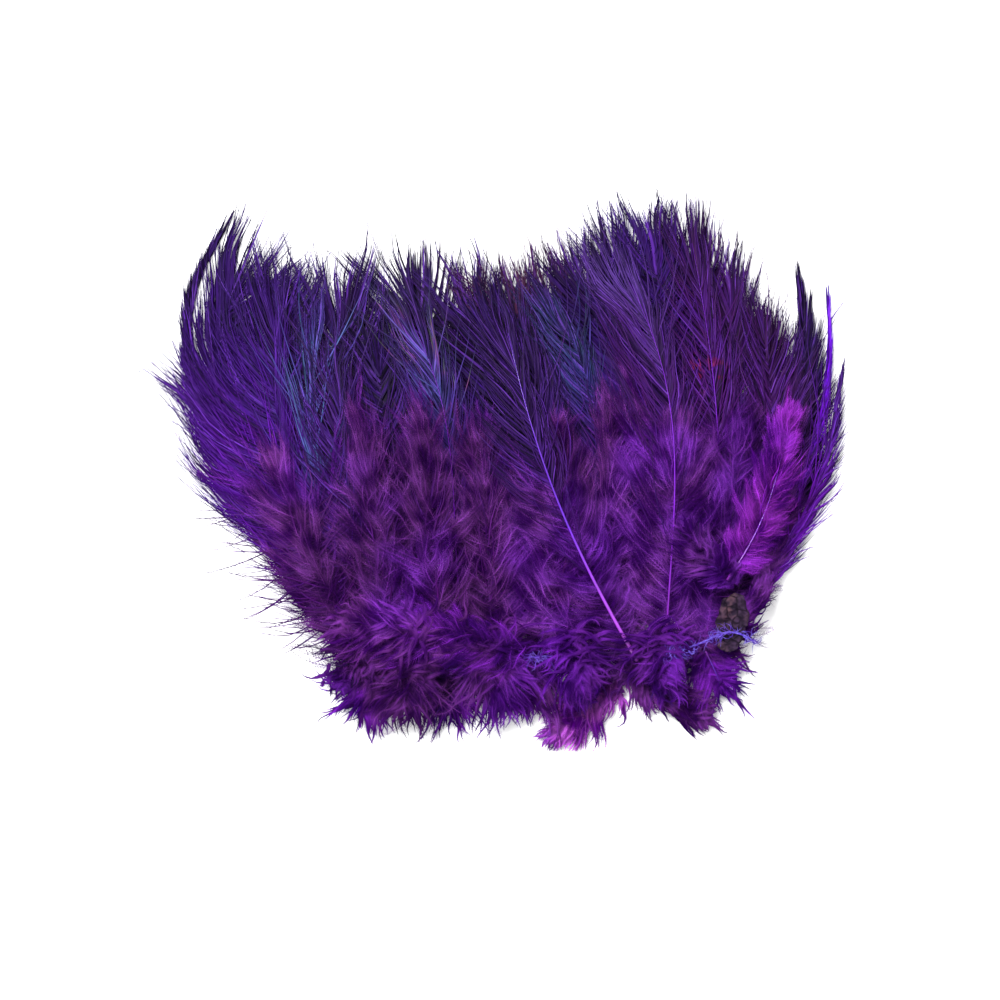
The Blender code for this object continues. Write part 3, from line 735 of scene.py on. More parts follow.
# Spread of the lengths, of a single barb and of a lock, and of the curl
FIRM_UNEVEN = (0.13, 0.09)
CURL_SPREAD = 0.12
LONGEST = 1.12
STRAY_SHARE = 0.08
STRAY_LENGTH = (1.05, 1.3)
STRAY_PULL = 0.1
STRAY_WIDTH = 0.6
FIRM_ROLL = (18.0, 22.0)


def add_firm(pile, row, side, rng):
    """The firm barbs of one side, with the fan at the tip."""
    start_place = DOWN_ENDS[row["form"]][0]
    if start_place > 1.0:
        return
    hidden = row["course"] < HIDDEN_COURSE and row["form"] != "sickle"
    usual = {-1: BROAD, 1: CLOSE} if hidden and row["form"] == "hackle" else VANES[row["form"]]
    lengths, angles, bend = row.get("vane", usual)[side]
    spacing = row.get("firm_spacing", FIRM_SPACING) * (HIDDEN_SPACING if hidden else 1.0)
    tip_place = row.get("tip_place", TIP_PLACE)
    count = int(row["quill_length"] * (tip_place - start_place) / spacing)
    place = np.concatenate((np.linspace(start_place, tip_place, count), np.full(TIP_FAN, tip_place)))
    vane = np.minimum(1.0, vane_of(place) / vane_of(np.array(tip_place)))
    angle = read_off(angles, vane)
    angle[count:] = np.linspace(angle[count - 1], FIRM_ANGLES[0], TIP_FAN + 1)[1:]
    total = count + TIP_FAN
    middle, away = locks(total, *LOCK_SIZES, rng)
    calm = row.get("calm", 1.0)
    swing = rng.normal(0.0, FIRM_SWING[0], total)[middle] + rng.normal(0.0, FIRM_SWING[1], total)
    angle = np.radians(np.clip(angle + calm * swing, *FIRM_ANGLES))
    length = read_off(lengths, vane) * side_reach(row, side)
    length[count:] = length[count - 1]
    longest = LONGEST * length.max()
    uneven = rng.normal(1.0, FIRM_UNEVEN[0], total) * rng.normal(1.0, FIRM_UNEVEN[1], total)[middle]
    length = length * (1.06 - 0.14 * away) * uneven
    strays = rng.random(total) < row.get("stray", STRAY_SHARE)
    length = np.minimum(longest, np.where(strays, length * rng.uniform(*STRAY_LENGTH, total), length))
    curl = bend * rng.normal(1.0, CURL_SPREAD, total)
    plan = barb_arcs(row, place, side, angle, length, curl, BARB_STEPS)
    share = np.linspace(0.0, 1.0, BARB_STEPS + 1)[None, :, None]
    grip = np.where(strays, STRAY_PULL, rng.uniform(0.3, 1.4, total))
    pull = calm * LOCK_PULL["firm"] * grip[:, None, None]
    plan = plan + pull * share ** 2.2 * (plan[middle] - plan)
    plan = ruffle(wavy(plan, 0.6 * calm, 0.7, rng), row.get("ruffle", 0.7), rng)
    rise = rng.normal(0.0, 1.0, total)
    lift = rng.normal(0.3, 0.25, (total, 1)) + 0.35 * rise[:, None] * share[..., 0]
    spine = heights(plan, row, lift + row["loft"] * share[..., 0] * 0.3)
    roll = side * np.radians(rng.normal(*FIRM_ROLL, total))
    width = FIRM_WIDTH * np.where(strays, STRAY_WIDTH, 1.0) * rng.uniform(0.5, 1.25, total)
    width = width * (HIDDEN_WIDE if hidden else row.get("firm_wide", 1.0))
    spots = lay("firm", spine, width, roll)
    # The strand number is the barb's painted light and shade: lighter on top of its lock and where it rises,
    # darker at the lock's edges
    pile.add("firm", spots, place, painted_light_and_shade(away, 0.6 * rise, rng, 0.34), ("firm", side), 1)


firm_rows = [row for row in ROWS if DOWN_ENDS[row["form"]][0] < 1.0]
print("feathers with a firm vane:", len(firm_rows))

# %% [markdown]
# ## The down
#
# The foot of a feather, and the whole of a plume or a tuft, is down: limp barbs
# with long barbules that fall every way and mat together. Each is a bottle brush
# laid on a loose, arching curve. Fluff at the root hides where the quill was cut.
# Under the down of a tuft or of a hidden feather lies a wide plain ribbon for
# each barb. It stands for the felt at the bottom of real down and takes the
# down's painted shade colour, and it keeps the table from shining through.

# %% Downy barbs, fluff and the felt below
DOWN_SPACING = 0.42
SHORT_QUILL = 30.0
SHORT_SPACING = 0.17
SHORT_FIRST_PLACE = 0.03
HIDDEN_DOWN_SPACING = 1.3
BARBULE_REACH = 1.5
HIDDEN_REACH = 1.8
DOWN_FAN = 10
ROOT_FLUFF = 12
FLUFF_ANGLES = (60.0, 165.0)
FLUFF_LENGTHS = (6.0, 12.0)
FLUFF_SCATTER = 2.6
FLUFF_PULL = 0.1
FLUFF_RISE = 1.8
DOWN_PULL = 0.4
SCATTER = {"hackle": 0.4, "swept": 0.4, "sickle": 0.4, "plume": 0.8, "tuft": 1.6}
LOCK_SWING = 9.0
TUFT_SWING = 13.0
BARB_SWING = 6.0
DOWN_ANGLES = (2.0, 170.0)
DOWN_UNEVEN = 0.12
DOWN_ROLL = 0.7
DOWN_JITTER = 0.28
# Share of a plume's barbs that cross over to its other side
CROSSING = 0.18
UNDER_WIDTH = 1.1
UNDER_DEPTH = 0.2


def add_down(pile, row, side, rng):
    """The downy barbs of one side, thinning out where the firm vane starts, and the fluff at the root."""
    form = FORMS[row["form"]]
    end_place = min(1.0, DOWN_ENDS[row["form"]][1])
    hidden = row["course"] < HIDDEN_COURSE and row["form"] in ("hackle", "sickle", "swept")
    pattern = "thin" if hidden else "full"
    short = row["quill_length"] < SHORT_QUILL
    first_place = SHORT_FIRST_PLACE if short else BARE_QUILL_SHARE
    spacing = row.get("down_spacing", DOWN_SPACING) * (HIDDEN_DOWN_SPACING if hidden else 1.0)
    spacing = SHORT_SPACING if short else spacing
    count = max(6, int(row["quill_length"] * (end_place - first_place) / spacing))
    fan = DOWN_FAN if end_place == 1.0 else 0
    fluff = 0 if row["form"] == "sickle" else ROOT_FLUFF if row["course"] < 0.5 else 2 * ROOT_FLUFF
    fluff = row.get("fluff", fluff)
    root_places = rng.uniform(0.0, 0.07, fluff)
    even_places = np.linspace(first_place, end_place * 0.999, count)
    place = np.concatenate((root_places, even_places, np.full(fan, 1.0)))
    vane = vane_of(place)
    silk = row.get("silk", 1.0)
    angle = read_off(form["angle"], vane) * row.get("narrow", 1.0)
    length = read_off(form["length"], vane) * side_reach(row, side)
    angle[:fluff] = rng.uniform(*FLUFF_ANGLES, fluff)
    length[:fluff] = rng.uniform(*FLUFF_LENGTHS, fluff)
    if fan:
        angle[-fan:] = np.linspace(angle[-fan - 1], DOWN_ANGLES[0], fan + 1)[1:]
        length[-fan:] = length[-fan - 1]
    total = count + fan + fluff
    middle, away = locks(total, *LOCK_SIZES, rng)
    loose = TUFT_SWING if row["form"] == "tuft" else LOCK_SWING
    swing = silk * (rng.normal(0.0, loose, total)[middle] + rng.normal(0.0, BARB_SWING, total))
    angle = np.radians(np.clip(angle + swing, *DOWN_ANGLES))
    if row["form"] == "plume":
        angle = np.where(rng.random(total) < CROSSING * silk, -0.5 * angle, angle)
    length = length * (1.1 - 0.3 * away) * rng.normal(1.0, DOWN_UNEVEN, total)
    length = length * rng.normal(1.0, DOWN_UNEVEN, total)[middle]
    curl = BARB_CURL * rng.uniform(0.5, 1.3, total)[middle] * rng.uniform(0.8, 1.2, total)
    plan = barb_arcs(row, place, side, angle, length, curl, BARB_STEPS)
    share = np.linspace(0.0, 1.0, BARB_STEPS + 1)[None, :, None]
    at_root = np.arange(total) < fluff
    grip = np.where(at_root, FLUFF_PULL, LOCK_PULL.get(row["form"], DOWN_PULL))[:, None, None]
    scatter = np.where(at_root, FLUFF_SCATTER, silk * SCATTER[row["form"]])[:, None, None]
    plan = plan + scatter * rng.normal(0.0, 1.0, (total, 1, 2))
    plan = plan + grip * share ** 1.3 * (plan[middle] - plan)
    plan = ruffle(wavy(plan, 0.8, 1.0, rng), row.get("ruffle", 1.0), rng)
    puff = 0.6 * rng.uniform(0.0, 1.0, total)[middle] + 0.4 * rng.uniform(0.0, 1.0, total)
    arch = np.sin(np.pi * np.clip(share[..., 0] * rng.uniform(0.55, 0.95, (total, 1)), 0.0, 1.0))
    lift = 0.5 + puff[:, None] * row["loft"] * arch
    lift = lift + np.where(at_root, FLUFF_RISE * row["course"], 0.0)[:, None] * arch
    spine = heights(plan, row, lift)
    roll = rng.uniform(-DOWN_ROLL, DOWN_ROLL, total)
    width = BARBULE_REACH * rng.uniform(0.5, 1.1, total) * (HIDDEN_REACH if hidden else 1.0)
    spots = lay(pattern, spine, width, roll, DOWN_JITTER, rng)
    # The strand number is the down's painted light and shade: lighter where it puffs up and on top of its
    # lock, darker low down and at the lock's edges
    pile.add(pattern, spots, place, painted_light_and_shade(away, 2.0 * puff - 1.0, rng), ("down", side), 2)
    if hidden or row["form"] == "tuft":
        under = lay("firm", spine - (0.0, 0.0, UNDER_DEPTH), np.full(total, UNDER_WIDTH), roll)
        # A low strand number gives the felt the down's painted shade colour
        pile.add("firm", under, place, np.full(total, 0.2), ("under", side), 2)


print("feathers and tufts that are all down:", len(ROWS) - len(firm_rows))

# %% [markdown]
# ## Loose hairs and the quill
#
# In a handled bundle some barbs have come loose, and they stand out on their own
# past the edge. Without them the outline would look cut. The quill is the tube
# laid along the feather's own curve. On the few feathers that lie open on top it
# is lifted over the barbs, because there the real quill shows all along.

# %% Hairs and quill
HAIRS = 20
SHORT_HAIRS = 6
HAIR_PLACES = (0.25, 0.92)
HAIR_ANGLES = (8.0, 44.0)
HAIR_LIMIT = 36.0
HAIR_WIDTHS = (0.17, 0.28)
QUILL_WIDTH = 0.42
SHORT_QUILL_WIDTH = 0.22


def add_hairs(pile, row, side, rng):
    """Single fine hairs that have come loose and stand out past the others."""
    count = row.get("hairs", SHORT_HAIRS if row["quill_length"] < SHORT_QUILL else HAIRS)
    place = rng.uniform(*HAIR_PLACES, count)
    angle = np.radians(rng.uniform(*row.get("hair_angle", HAIR_ANGLES), count))
    reach = (1.5 if row["form"] in VANES else 1.0) * max(row["left"], row["right"])
    length = np.minimum(row.get("hair_limit", HAIR_LIMIT), reach * rng.uniform(1.0, 1.5, count))
    length = length * rng.uniform(0.75, 1.0, count)
    plan = barb_arcs(row, place, side, angle, length, rng.uniform(0.2, 1.0, count), BARB_STEPS)
    share = np.linspace(0.0, 1.0, BARB_STEPS + 1)[None, :]
    lift = 0.5 + rng.uniform(0.5, 2.0, (count, 1)) * np.sin(2.2 * share)
    spine = heights(wavy(plan, 1.2, 0.8, rng), row, lift)
    width = row.get("hair_width", 1.3) * rng.uniform(*HAIR_WIDTHS, count)
    spots = lay("firm", spine, width, rng.uniform(-0.6, 0.6, count))
    pile.add("firm", spots, place, rng.uniform(0.2, 0.9, count), ("hair", side), 1)


def add_quill(pile, row):
    """The quill, thick at the root and a hair at the tip."""
    place = np.linspace(0.0, 1.0, QUILL_STEPS + 1)
    plan, _ = quill_line(row, place)
    spine = heights(plan[None], row, row.get("quill_lift", 0.0) - 0.05)
    usual = QUILL_WIDTH if row["quill_length"] > SHORT_QUILL else SHORT_QUILL_WIDTH
    root = row.get("root_width", usual)
    girth = root * (1.0 - 0.9 * place ** 0.8)
    shape, _ = PATTERNS["quill"]
    spots = lay("quill", spine, np.ones(1), np.zeros(1))
    middle = np.stack([np.interp(shape[:, 0], place, spine[0, :, axis]) for axis in range(3)], axis=1)
    wide = np.interp(shape[:, 0], place, girth)[None, :, None]
    spots = middle[None] + (spots - middle[None]) * wide
    pile.add("quill", spots, np.array((0.5,)), np.array((0.5,)), ("quill", 0), 0)


print("quill widths at the root, mm:", QUILL_WIDTH, SHORT_QUILL_WIDTH)

# %% [markdown]
# ## Dyes
#
# Real dye takes unevenly. The down drinks it and turns grey-purple, the firm
# vane keeps a trace of the bird's own blue, green and brown, and the quill stays
# bright and glossy. One table gives each dye's colours along the vane and the
# down's colour, and small helpers make the nodes, so that a paint reads like a
# recipe.

# %% Colours and small node helpers
LIGHT_GAIN = 1.45


def dye(red, green, blue):
    """The shader's colour for a display colour of 0 to 255, seen under the bright even light."""
    def linear(value):
        value = value / 255.0
        return (value / 12.92 if value <= 0.04045 else ((value + 0.055) / 1.055) ** 2.4) / LIGHT_GAIN
    return (linear(red), linear(green), linear(blue), 1.0)


# For each dye: vane colours from its foot to its tip, and the down's colour
DYES = {
    "electric": ((86, 8, 150), (98, 14, 196), (80, 20, 164), (80, 22, 116)),
    "ink": ((29, 10, 50), (28, 13, 48), (28, 14, 48), (58, 22, 76)),
    "blue": ((52, 11, 99), (46, 20, 95), (37, 20, 69), (66, 26, 92)),
    "pale_blue": ((61, 18, 111), (56, 36, 115), (50, 50, 100), (70, 28, 96)),
    "violet": ((61, 7, 110), (50, 13, 97), (41, 20, 73), (68, 22, 98)),
    "bright": ((88, 13, 142), (73, 18, 125), (52, 21, 90), (80, 22, 116)),
    "iridescent": ((55, 13, 88), (53, 37, 105), (44, 26, 72), (70, 28, 94)),
    "teal": ((45, 11, 77), (39, 30, 82), (35, 22, 60), (68, 26, 92)),
    "dusk": ((49, 13, 77), (41, 17, 70), (36, 19, 58), (66, 26, 88)),
    "brown": ((52, 14, 77), (48, 21, 69), (75, 38, 60), (66, 26, 88)),
    "plum": ((59, 13, 83), (55, 17, 77), (44, 17, 57), (70, 28, 90)),
    "amethyst": ((56, 14, 80), (56, 21, 84), (76, 50, 118), (70, 28, 90)),
    "grape": ((65, 14, 88), (67, 23, 90), (73, 28, 94), (74, 31, 92)),
    "magenta": ((108, 16, 153), (119, 26, 164), (134, 43, 177), (94, 26, 120)),
    "mauve": ((114, 36, 145), (125, 47, 152), (134, 58, 156), (128, 60, 142)),
}


def node_of(tree, kind, values, **settings):
    """A new node with its settings; a value is a number, a colour or a socket to join."""
    node = tree.nodes.new(kind)
    for name, setting in settings.items():
        setattr(node, name, setting)
    for socket, value in values.items():
        if hasattr(value, "links"):
            tree.links.new(value, node.inputs[socket])
        else:
            node.inputs[socket].default_value = value
    return node


def ramp(tree, factor, stops):
    """A colour ramp read at a factor; stops are (place, colour)."""
    node = node_of(tree, "ShaderNodeValToRGB", {"Fac": factor})
    line = node.color_ramp
    line.elements[0].position, line.elements[0].color = stops[0]
    line.elements[1].position, line.elements[1].color = stops[-1]
    for place, colour in stops[1:-1]:
        line.elements.new(place).color = colour
    return node.outputs["Color"]


def ranged(tree, value, low, high, new_low, new_high):
    """A value moved from one range to another, held at its ends."""
    values = {"Value": value, "From Min": low, "From Max": high, "To Min": new_low, "To Max": new_high}
    return node_of(tree, "ShaderNodeMapRange", values).outputs["Result"]


def blended(tree, factor, first, second, kind="MIX"):
    """Two colours mixed; each may be a colour or a socket."""
    values = {0: factor, 6: first, 7: second}
    return node_of(tree, "ShaderNodeMix", values, data_type="RGBA", blend_type=kind).outputs[2]


def math_of(tree, kind, first, second):
    """A Math node of two values, each a number or a socket."""
    return node_of(tree, "ShaderNodeMath", {0: first, 1: second}, operation=kind).outputs[0]


def grey(tree, value):
    """A value as a grey colour, for a Multiply mix."""
    values = dict.fromkeys(("Red", "Green", "Blue"), value)
    return node_of(tree, "ShaderNodeCombineColor", values).outputs["Color"]


print("a purple for the shader:", [round(part, 3) for part in dye(66, 26, 92)])

# %% [markdown]
# ## Noise that follows the barbs
#
# Dye streaks run along a barb and change from one barb to the next. Noise over
# the whole bundle can't do that, so it is read at the barb attribute's three
# numbers, stretched along the barb. Broad patches, where the dye took more or
# less, do lie over the whole bundle and read its Object coordinates.

# %% What the paints read
STREAK_PLACE_SCALE = 6.0
STREAK_DETAIL = 2.0
PATCH_DETAIL = 1.0
BUMP_STRENGTH = 0.4


def attribute_of(tree, name):
    """The node that reads a point attribute of the mesh."""
    return node_of(tree, "ShaderNodeAttribute", {}, attribute_name=name)


def barb_numbers(tree):
    """The barb attribute's three numbers: along the barb, place on the feather, strand."""
    values = {0: attribute_of(tree, "barb").outputs["Vector"]}
    return tuple(node_of(tree, "ShaderNodeSeparateXYZ", values).outputs)


def fuzz_number(tree):
    """How far out a corner is on its barbule: 0 at the barb's thread, 1 at the barbule's tip."""
    return attribute_of(tree, "fuzz").outputs["Fac"]


def object_place(tree):
    """The place in the bundle, from the piece's own coordinates."""
    return node_of(tree, "ShaderNodeTexCoord", {}).outputs["Object"]


def noise_of(tree, vector, scale, detail):
    """Soft noise read at a vector."""
    values = {"Vector": vector, "Scale": scale, "Detail": detail}
    return node_of(tree, "ShaderNodeTexNoise", values).outputs["Fac"]


def streaks(tree, along, place, strand, along_scale, strand_scale):
    """Noise that runs along the barbs and changes from one to the next."""
    scales = ((along, along_scale), (strand, strand_scale), (place, STREAK_PLACE_SCALE))
    values = {axis: math_of(tree, "MULTIPLY", *pair) for axis, pair in enumerate(scales)}
    vector = node_of(tree, "ShaderNodeCombineXYZ", values).outputs[0]
    return noise_of(tree, vector, 1.0, STREAK_DETAIL)


def patches(tree, scale):
    """Broad soft noise over the bundle, where the dye took more or less."""
    return noise_of(tree, object_place(tree), scale, PATCH_DETAIL)


def distance_from(tree, spot):
    """Distance of the surface from a spot in the bundle."""
    values = {0: object_place(tree), 1: spot}
    return node_of(tree, "ShaderNodeVectorMath", values, operation="DISTANCE").outputs["Value"]


def new_paint(name, roughness, gloss):
    """A Principled material, its tree and its shader."""
    material = bpy.data.materials.new(name)
    material.use_nodes = True
    shader = material.node_tree.nodes["Principled BSDF"]
    set_values(shader, Roughness=roughness, Specular_IOR_Level=gloss)
    return material, material.node_tree, shader


def finish_paint(tree, shader, colour, bump_from, depth):
    """Joins a colour and a fine bump to the shader."""
    values = {"Strength": BUMP_STRENGTH, "Distance": depth, "Height": bump_from}
    bump = node_of(tree, "ShaderNodeBump", values)
    tree.links.new(colour, shader.inputs["Base Color"])
    tree.links.new(bump.outputs["Normal"], shader.inputs["Normal"])


print("dyes to mix:", len(DYES))

# %% [markdown]
# ## Paint of a firm vane
#
# A dyed barb gets painted light where it stands up on its lock, painted shade at
# the edges of its lock and low down, painted glints along it and a painted
# highlight on the top strands, and it is dull at its tip. Three feathers keep the
# bird's own blue, green and bronze sheen as a band across the vane, under the dye,
# and one has a few red flecks.
# One colour for the whole vane would look like felt.

# %% Paint of a firm vane
SHEENS = {
    "iridescent": ((0.0, dye(72, 76, 146)), (0.42, dye(78, 68, 130)), (0.55, dye(112, 60, 110)),
                   (0.68, dye(72, 78, 56)), (1.0, dye(46, 56, 78))),
    "teal": ((0.0, dye(48, 46, 112)), (0.5, dye(40, 58, 92)), (1.0, dye(34, 42, 68))),
    "pale_blue": ((0.0, dye(72, 70, 150)), (0.5, dye(58, 88, 126)), (1.0, dye(68, 54, 128))),
}
SHEEN_ZONE = {"iridescent": (0.66, 0.74, 0.9, 0.98), "teal": (0.64, 0.72, 0.88, 0.98),
              "pale_blue": (0.5, 0.6, 0.92, 1.0)}
FLECKED = ("plum",)
FLECK_SPOT = (0.0512, 0.0256, 0.008)
FLECK_REACH = (0.003, 0.0065)
FLECK_RED = dye(104, 20, 34)
DULL_TIP = dye(40, 30, 64)
GLINT = dye(70, 28, 144)
# Painted highlight colour for the strands on top of their locks
STRAND_HIGHLIGHT = dye(96, 50, 160)
VANE_BUMP = 0.00005


def vane_paint(name):
    """Three colours along the feather, duller tips, painted glints and a painted highlight, and strand by
    strand painted light and shade with random change.
    """
    foot, middle, tip, _ = (dye(*colour) for colour in DYES[name])
    material, tree, shader = new_paint(name + "_vane", 0.45, 0.03)
    along, place, strand = barb_numbers(tree)
    drift = math_of(tree, "ADD", place, ranged(tree, patches(tree, 60.0), 0.3, 0.7, -0.08, 0.08))
    colour = ramp(tree, drift, ((0.42, foot), (0.68, middle), (0.98, tip)))
    if name in SHEENS:
        zone_in, zone_full, zone_end, zone_out = SHEEN_ZONE[name]
        zone = math_of(tree, "MULTIPLY", ranged(tree, drift, zone_in, zone_full, 0.0, 1.0),
                      ranged(tree, drift, zone_end, zone_out, 1.0, 0.0))
        hue = math_of(tree, "ADD", along, ranged(tree, patches(tree, 90.0), 0.3, 0.7, -0.3, 0.3))
        some = ranged(tree, streaks(tree, along, place, strand, 0.6, 91.0), 0.42, 0.56, 0.15, 0.95)
        sheen = ramp(tree, hue, SHEENS[name])
        colour = blended(tree, math_of(tree, "MULTIPLY", zone, some), colour, sheen)
    if name in FLECKED:
        fleck = math_of(tree, "MULTIPLY", ranged(tree, patches(tree, 380.0), 0.58, 0.64, 0.0, 0.7),
                        ranged(tree, distance_from(tree, FLECK_SPOT), *FLECK_REACH, 1.0, 0.0))
        colour = blended(tree, fleck, colour, FLECK_RED)
    fringe = ranged(tree, along, 0.55, 1.0, 0.0, 0.75)
    colour = blended(tree, fringe, colour, blended(tree, 0.55, colour, DULL_TIP))
    glint = streaks(tree, along, place, strand, 2.2, 37.0)
    colour = blended(tree, ranged(tree, glint, 0.45, 0.75, 0.0, 0.35), colour, GLINT)
    # Painted highlight on the top strands of the locks
    colour = blended(tree, ranged(tree, strand, 0.86, 0.98, 0.0, 0.3), colour, STRAND_HIGHLIGHT)
    # Painted light and shade: the strand number lightens barbs on top of their locks and darkens those at
    # the lock edges and low down; the streaks vary it at random
    tone = math_of(tree, "MULTIPLY", ranged(tree, strand, 0.0, 1.0, 0.2, 1.6),
                  ranged(tree, streaks(tree, along, place, strand, 7.0, 61.0), 0.3, 0.7, 0.78, 1.2))
    colour = blended(tree, 1.0, colour, grey(tree, tone), "MULTIPLY")
    finish_paint(tree, shader, colour, streaks(tree, along, place, strand, 160.0, 9.0), VANE_BUMP)
    return material


print("dyes with a sheen:", *SHEENS)

# %% [markdown]
# ## Paint of the down and of the quill
#
# Down has no gloss. It gets a deep, vivid painted shade low in the pile and a
# paler, greyer painted light on the strands that stand up, with a painted
# highlight on their threads, and broad patches took more dye than others. A quill
# is horn, so it is the one glossy thing here, and its root is the palest.

# %% Down and quill
# Painted shade colour of the low down in the vivid patches; VIVID_DOWN is their colour on the lit strands
PAINTED_DOWN_SHADE = dye(38, 0, 76)
VIVID_DOWN = dye(98, 24, 176)
DOWN_BUMP = 0.00003
QUILL_BUMP = 0.00004


def down_paint(name):
    """Soft matt colour with a deep, vivid painted shade low in the down and a paler, greyer painted light on
    its raised strands and their threads.
    """
    colour = DYES[name][3]
    # deep is the painted shade colour, pale the painted light colour and thread a painted highlight on the
    # barb's thread
    deep = dye(0.5 * colour[0], 0.0, 0.7 * colour[2])
    pale = dye(1.5 * colour[0], 1.75 * colour[1], 1.5 * colour[2])
    thread = dye(1.45 * colour[0], 1.1 * colour[1], 1.5 * colour[2])
    material, tree, shader = new_paint(name + "_down", 0.8, 0.03)
    along, place, strand = barb_numbers(tree)
    # Painted light and shade level: high on raised strands and low deep in the down, from the strand number,
    # plus broad random patches
    level = math_of(tree, "ADD", math_of(tree, "MULTIPLY", strand, 0.7),
                   ranged(tree, patches(tree, 150.0), 0.36, 0.64, -0.18, 0.42))
    vivid = ranged(tree, patches(tree, 55.0), 0.48, 0.66, 0.0, 0.5)
    colour = ramp(tree, level, ((0.16, deep), (0.56, dye(*colour)), (0.95, pale)))
    pure = ramp(tree, level, ((0.16, PAINTED_DOWN_SHADE), (0.95, VIVID_DOWN)))
    colour = blended(tree, vivid, colour, pure)
    fuzz = fuzz_number(tree)
    # Painted highlight on the barb's thread, stronger where the painted light level is high
    lit = math_of(tree, "MULTIPLY", ranged(tree, fuzz, 0.0, 0.2, 0.6, 0.0), level)
    colour = blended(tree, lit, colour, thread)
    tone = math_of(tree, "MULTIPLY", ranged(tree, fuzz, 0.0, 0.7, 1.35, 0.85),
                  ranged(tree, streaks(tree, along, place, strand, 3.0, 53.0), 0.3, 0.7, 0.75, 1.2))
    tone = math_of(tree, "MULTIPLY", tone, ranged(tree, patches(tree, 34.0), 0.36, 0.62, 0.72, 1.16))
    colour = blended(tree, 1.0, colour, grey(tree, tone), "MULTIPLY")
    finish_paint(tree, shader, colour, streaks(tree, along, place, strand, 90.0, 13.0), DOWN_BUMP)
    return material


def quill_paint(name, root, tip, gloss=0.35):
    """Glossy dyed horn, pale at the root."""
    material, tree, shader = new_paint(name + "_quill", 0.22, gloss)
    along, place, strand = barb_numbers(tree)
    colour = ramp(tree, along, ((0.05, root), (0.42, tip), (1.0, blended_end(tip))))
    grain = streaks(tree, along, place, strand, 30.0, 5.0)
    colour = blended(tree, 1.0, colour, grey(tree, ranged(tree, grain, 0.3, 0.7, 0.85, 1.1)), "MULTIPLY")
    finish_paint(tree, shader, colour, grain, QUILL_BUMP)
    return material


def blended_end(colour):
    """The thin end of a quill, a little deeper than its middle."""
    return (colour[0] * 0.7, colour[1] * 0.7, colour[2] * 0.75, 1.0)


PAINTS = {}
for name in DYES:
    plain_quill = quill_paint(name, dye(90, 34, 116), dye(62, 22, 100))
    PAINTS[name] = (plain_quill, vane_paint(name), down_paint(name))
QUILLS = {"pale": quill_paint("pale", dye(164, 60, 204), dye(92, 10, 184), 0.7),
          "vivid": quill_paint("vivid", dye(110, 24, 146), dye(116, 14, 190))}
print("paints:", 3 * len(PAINTS))
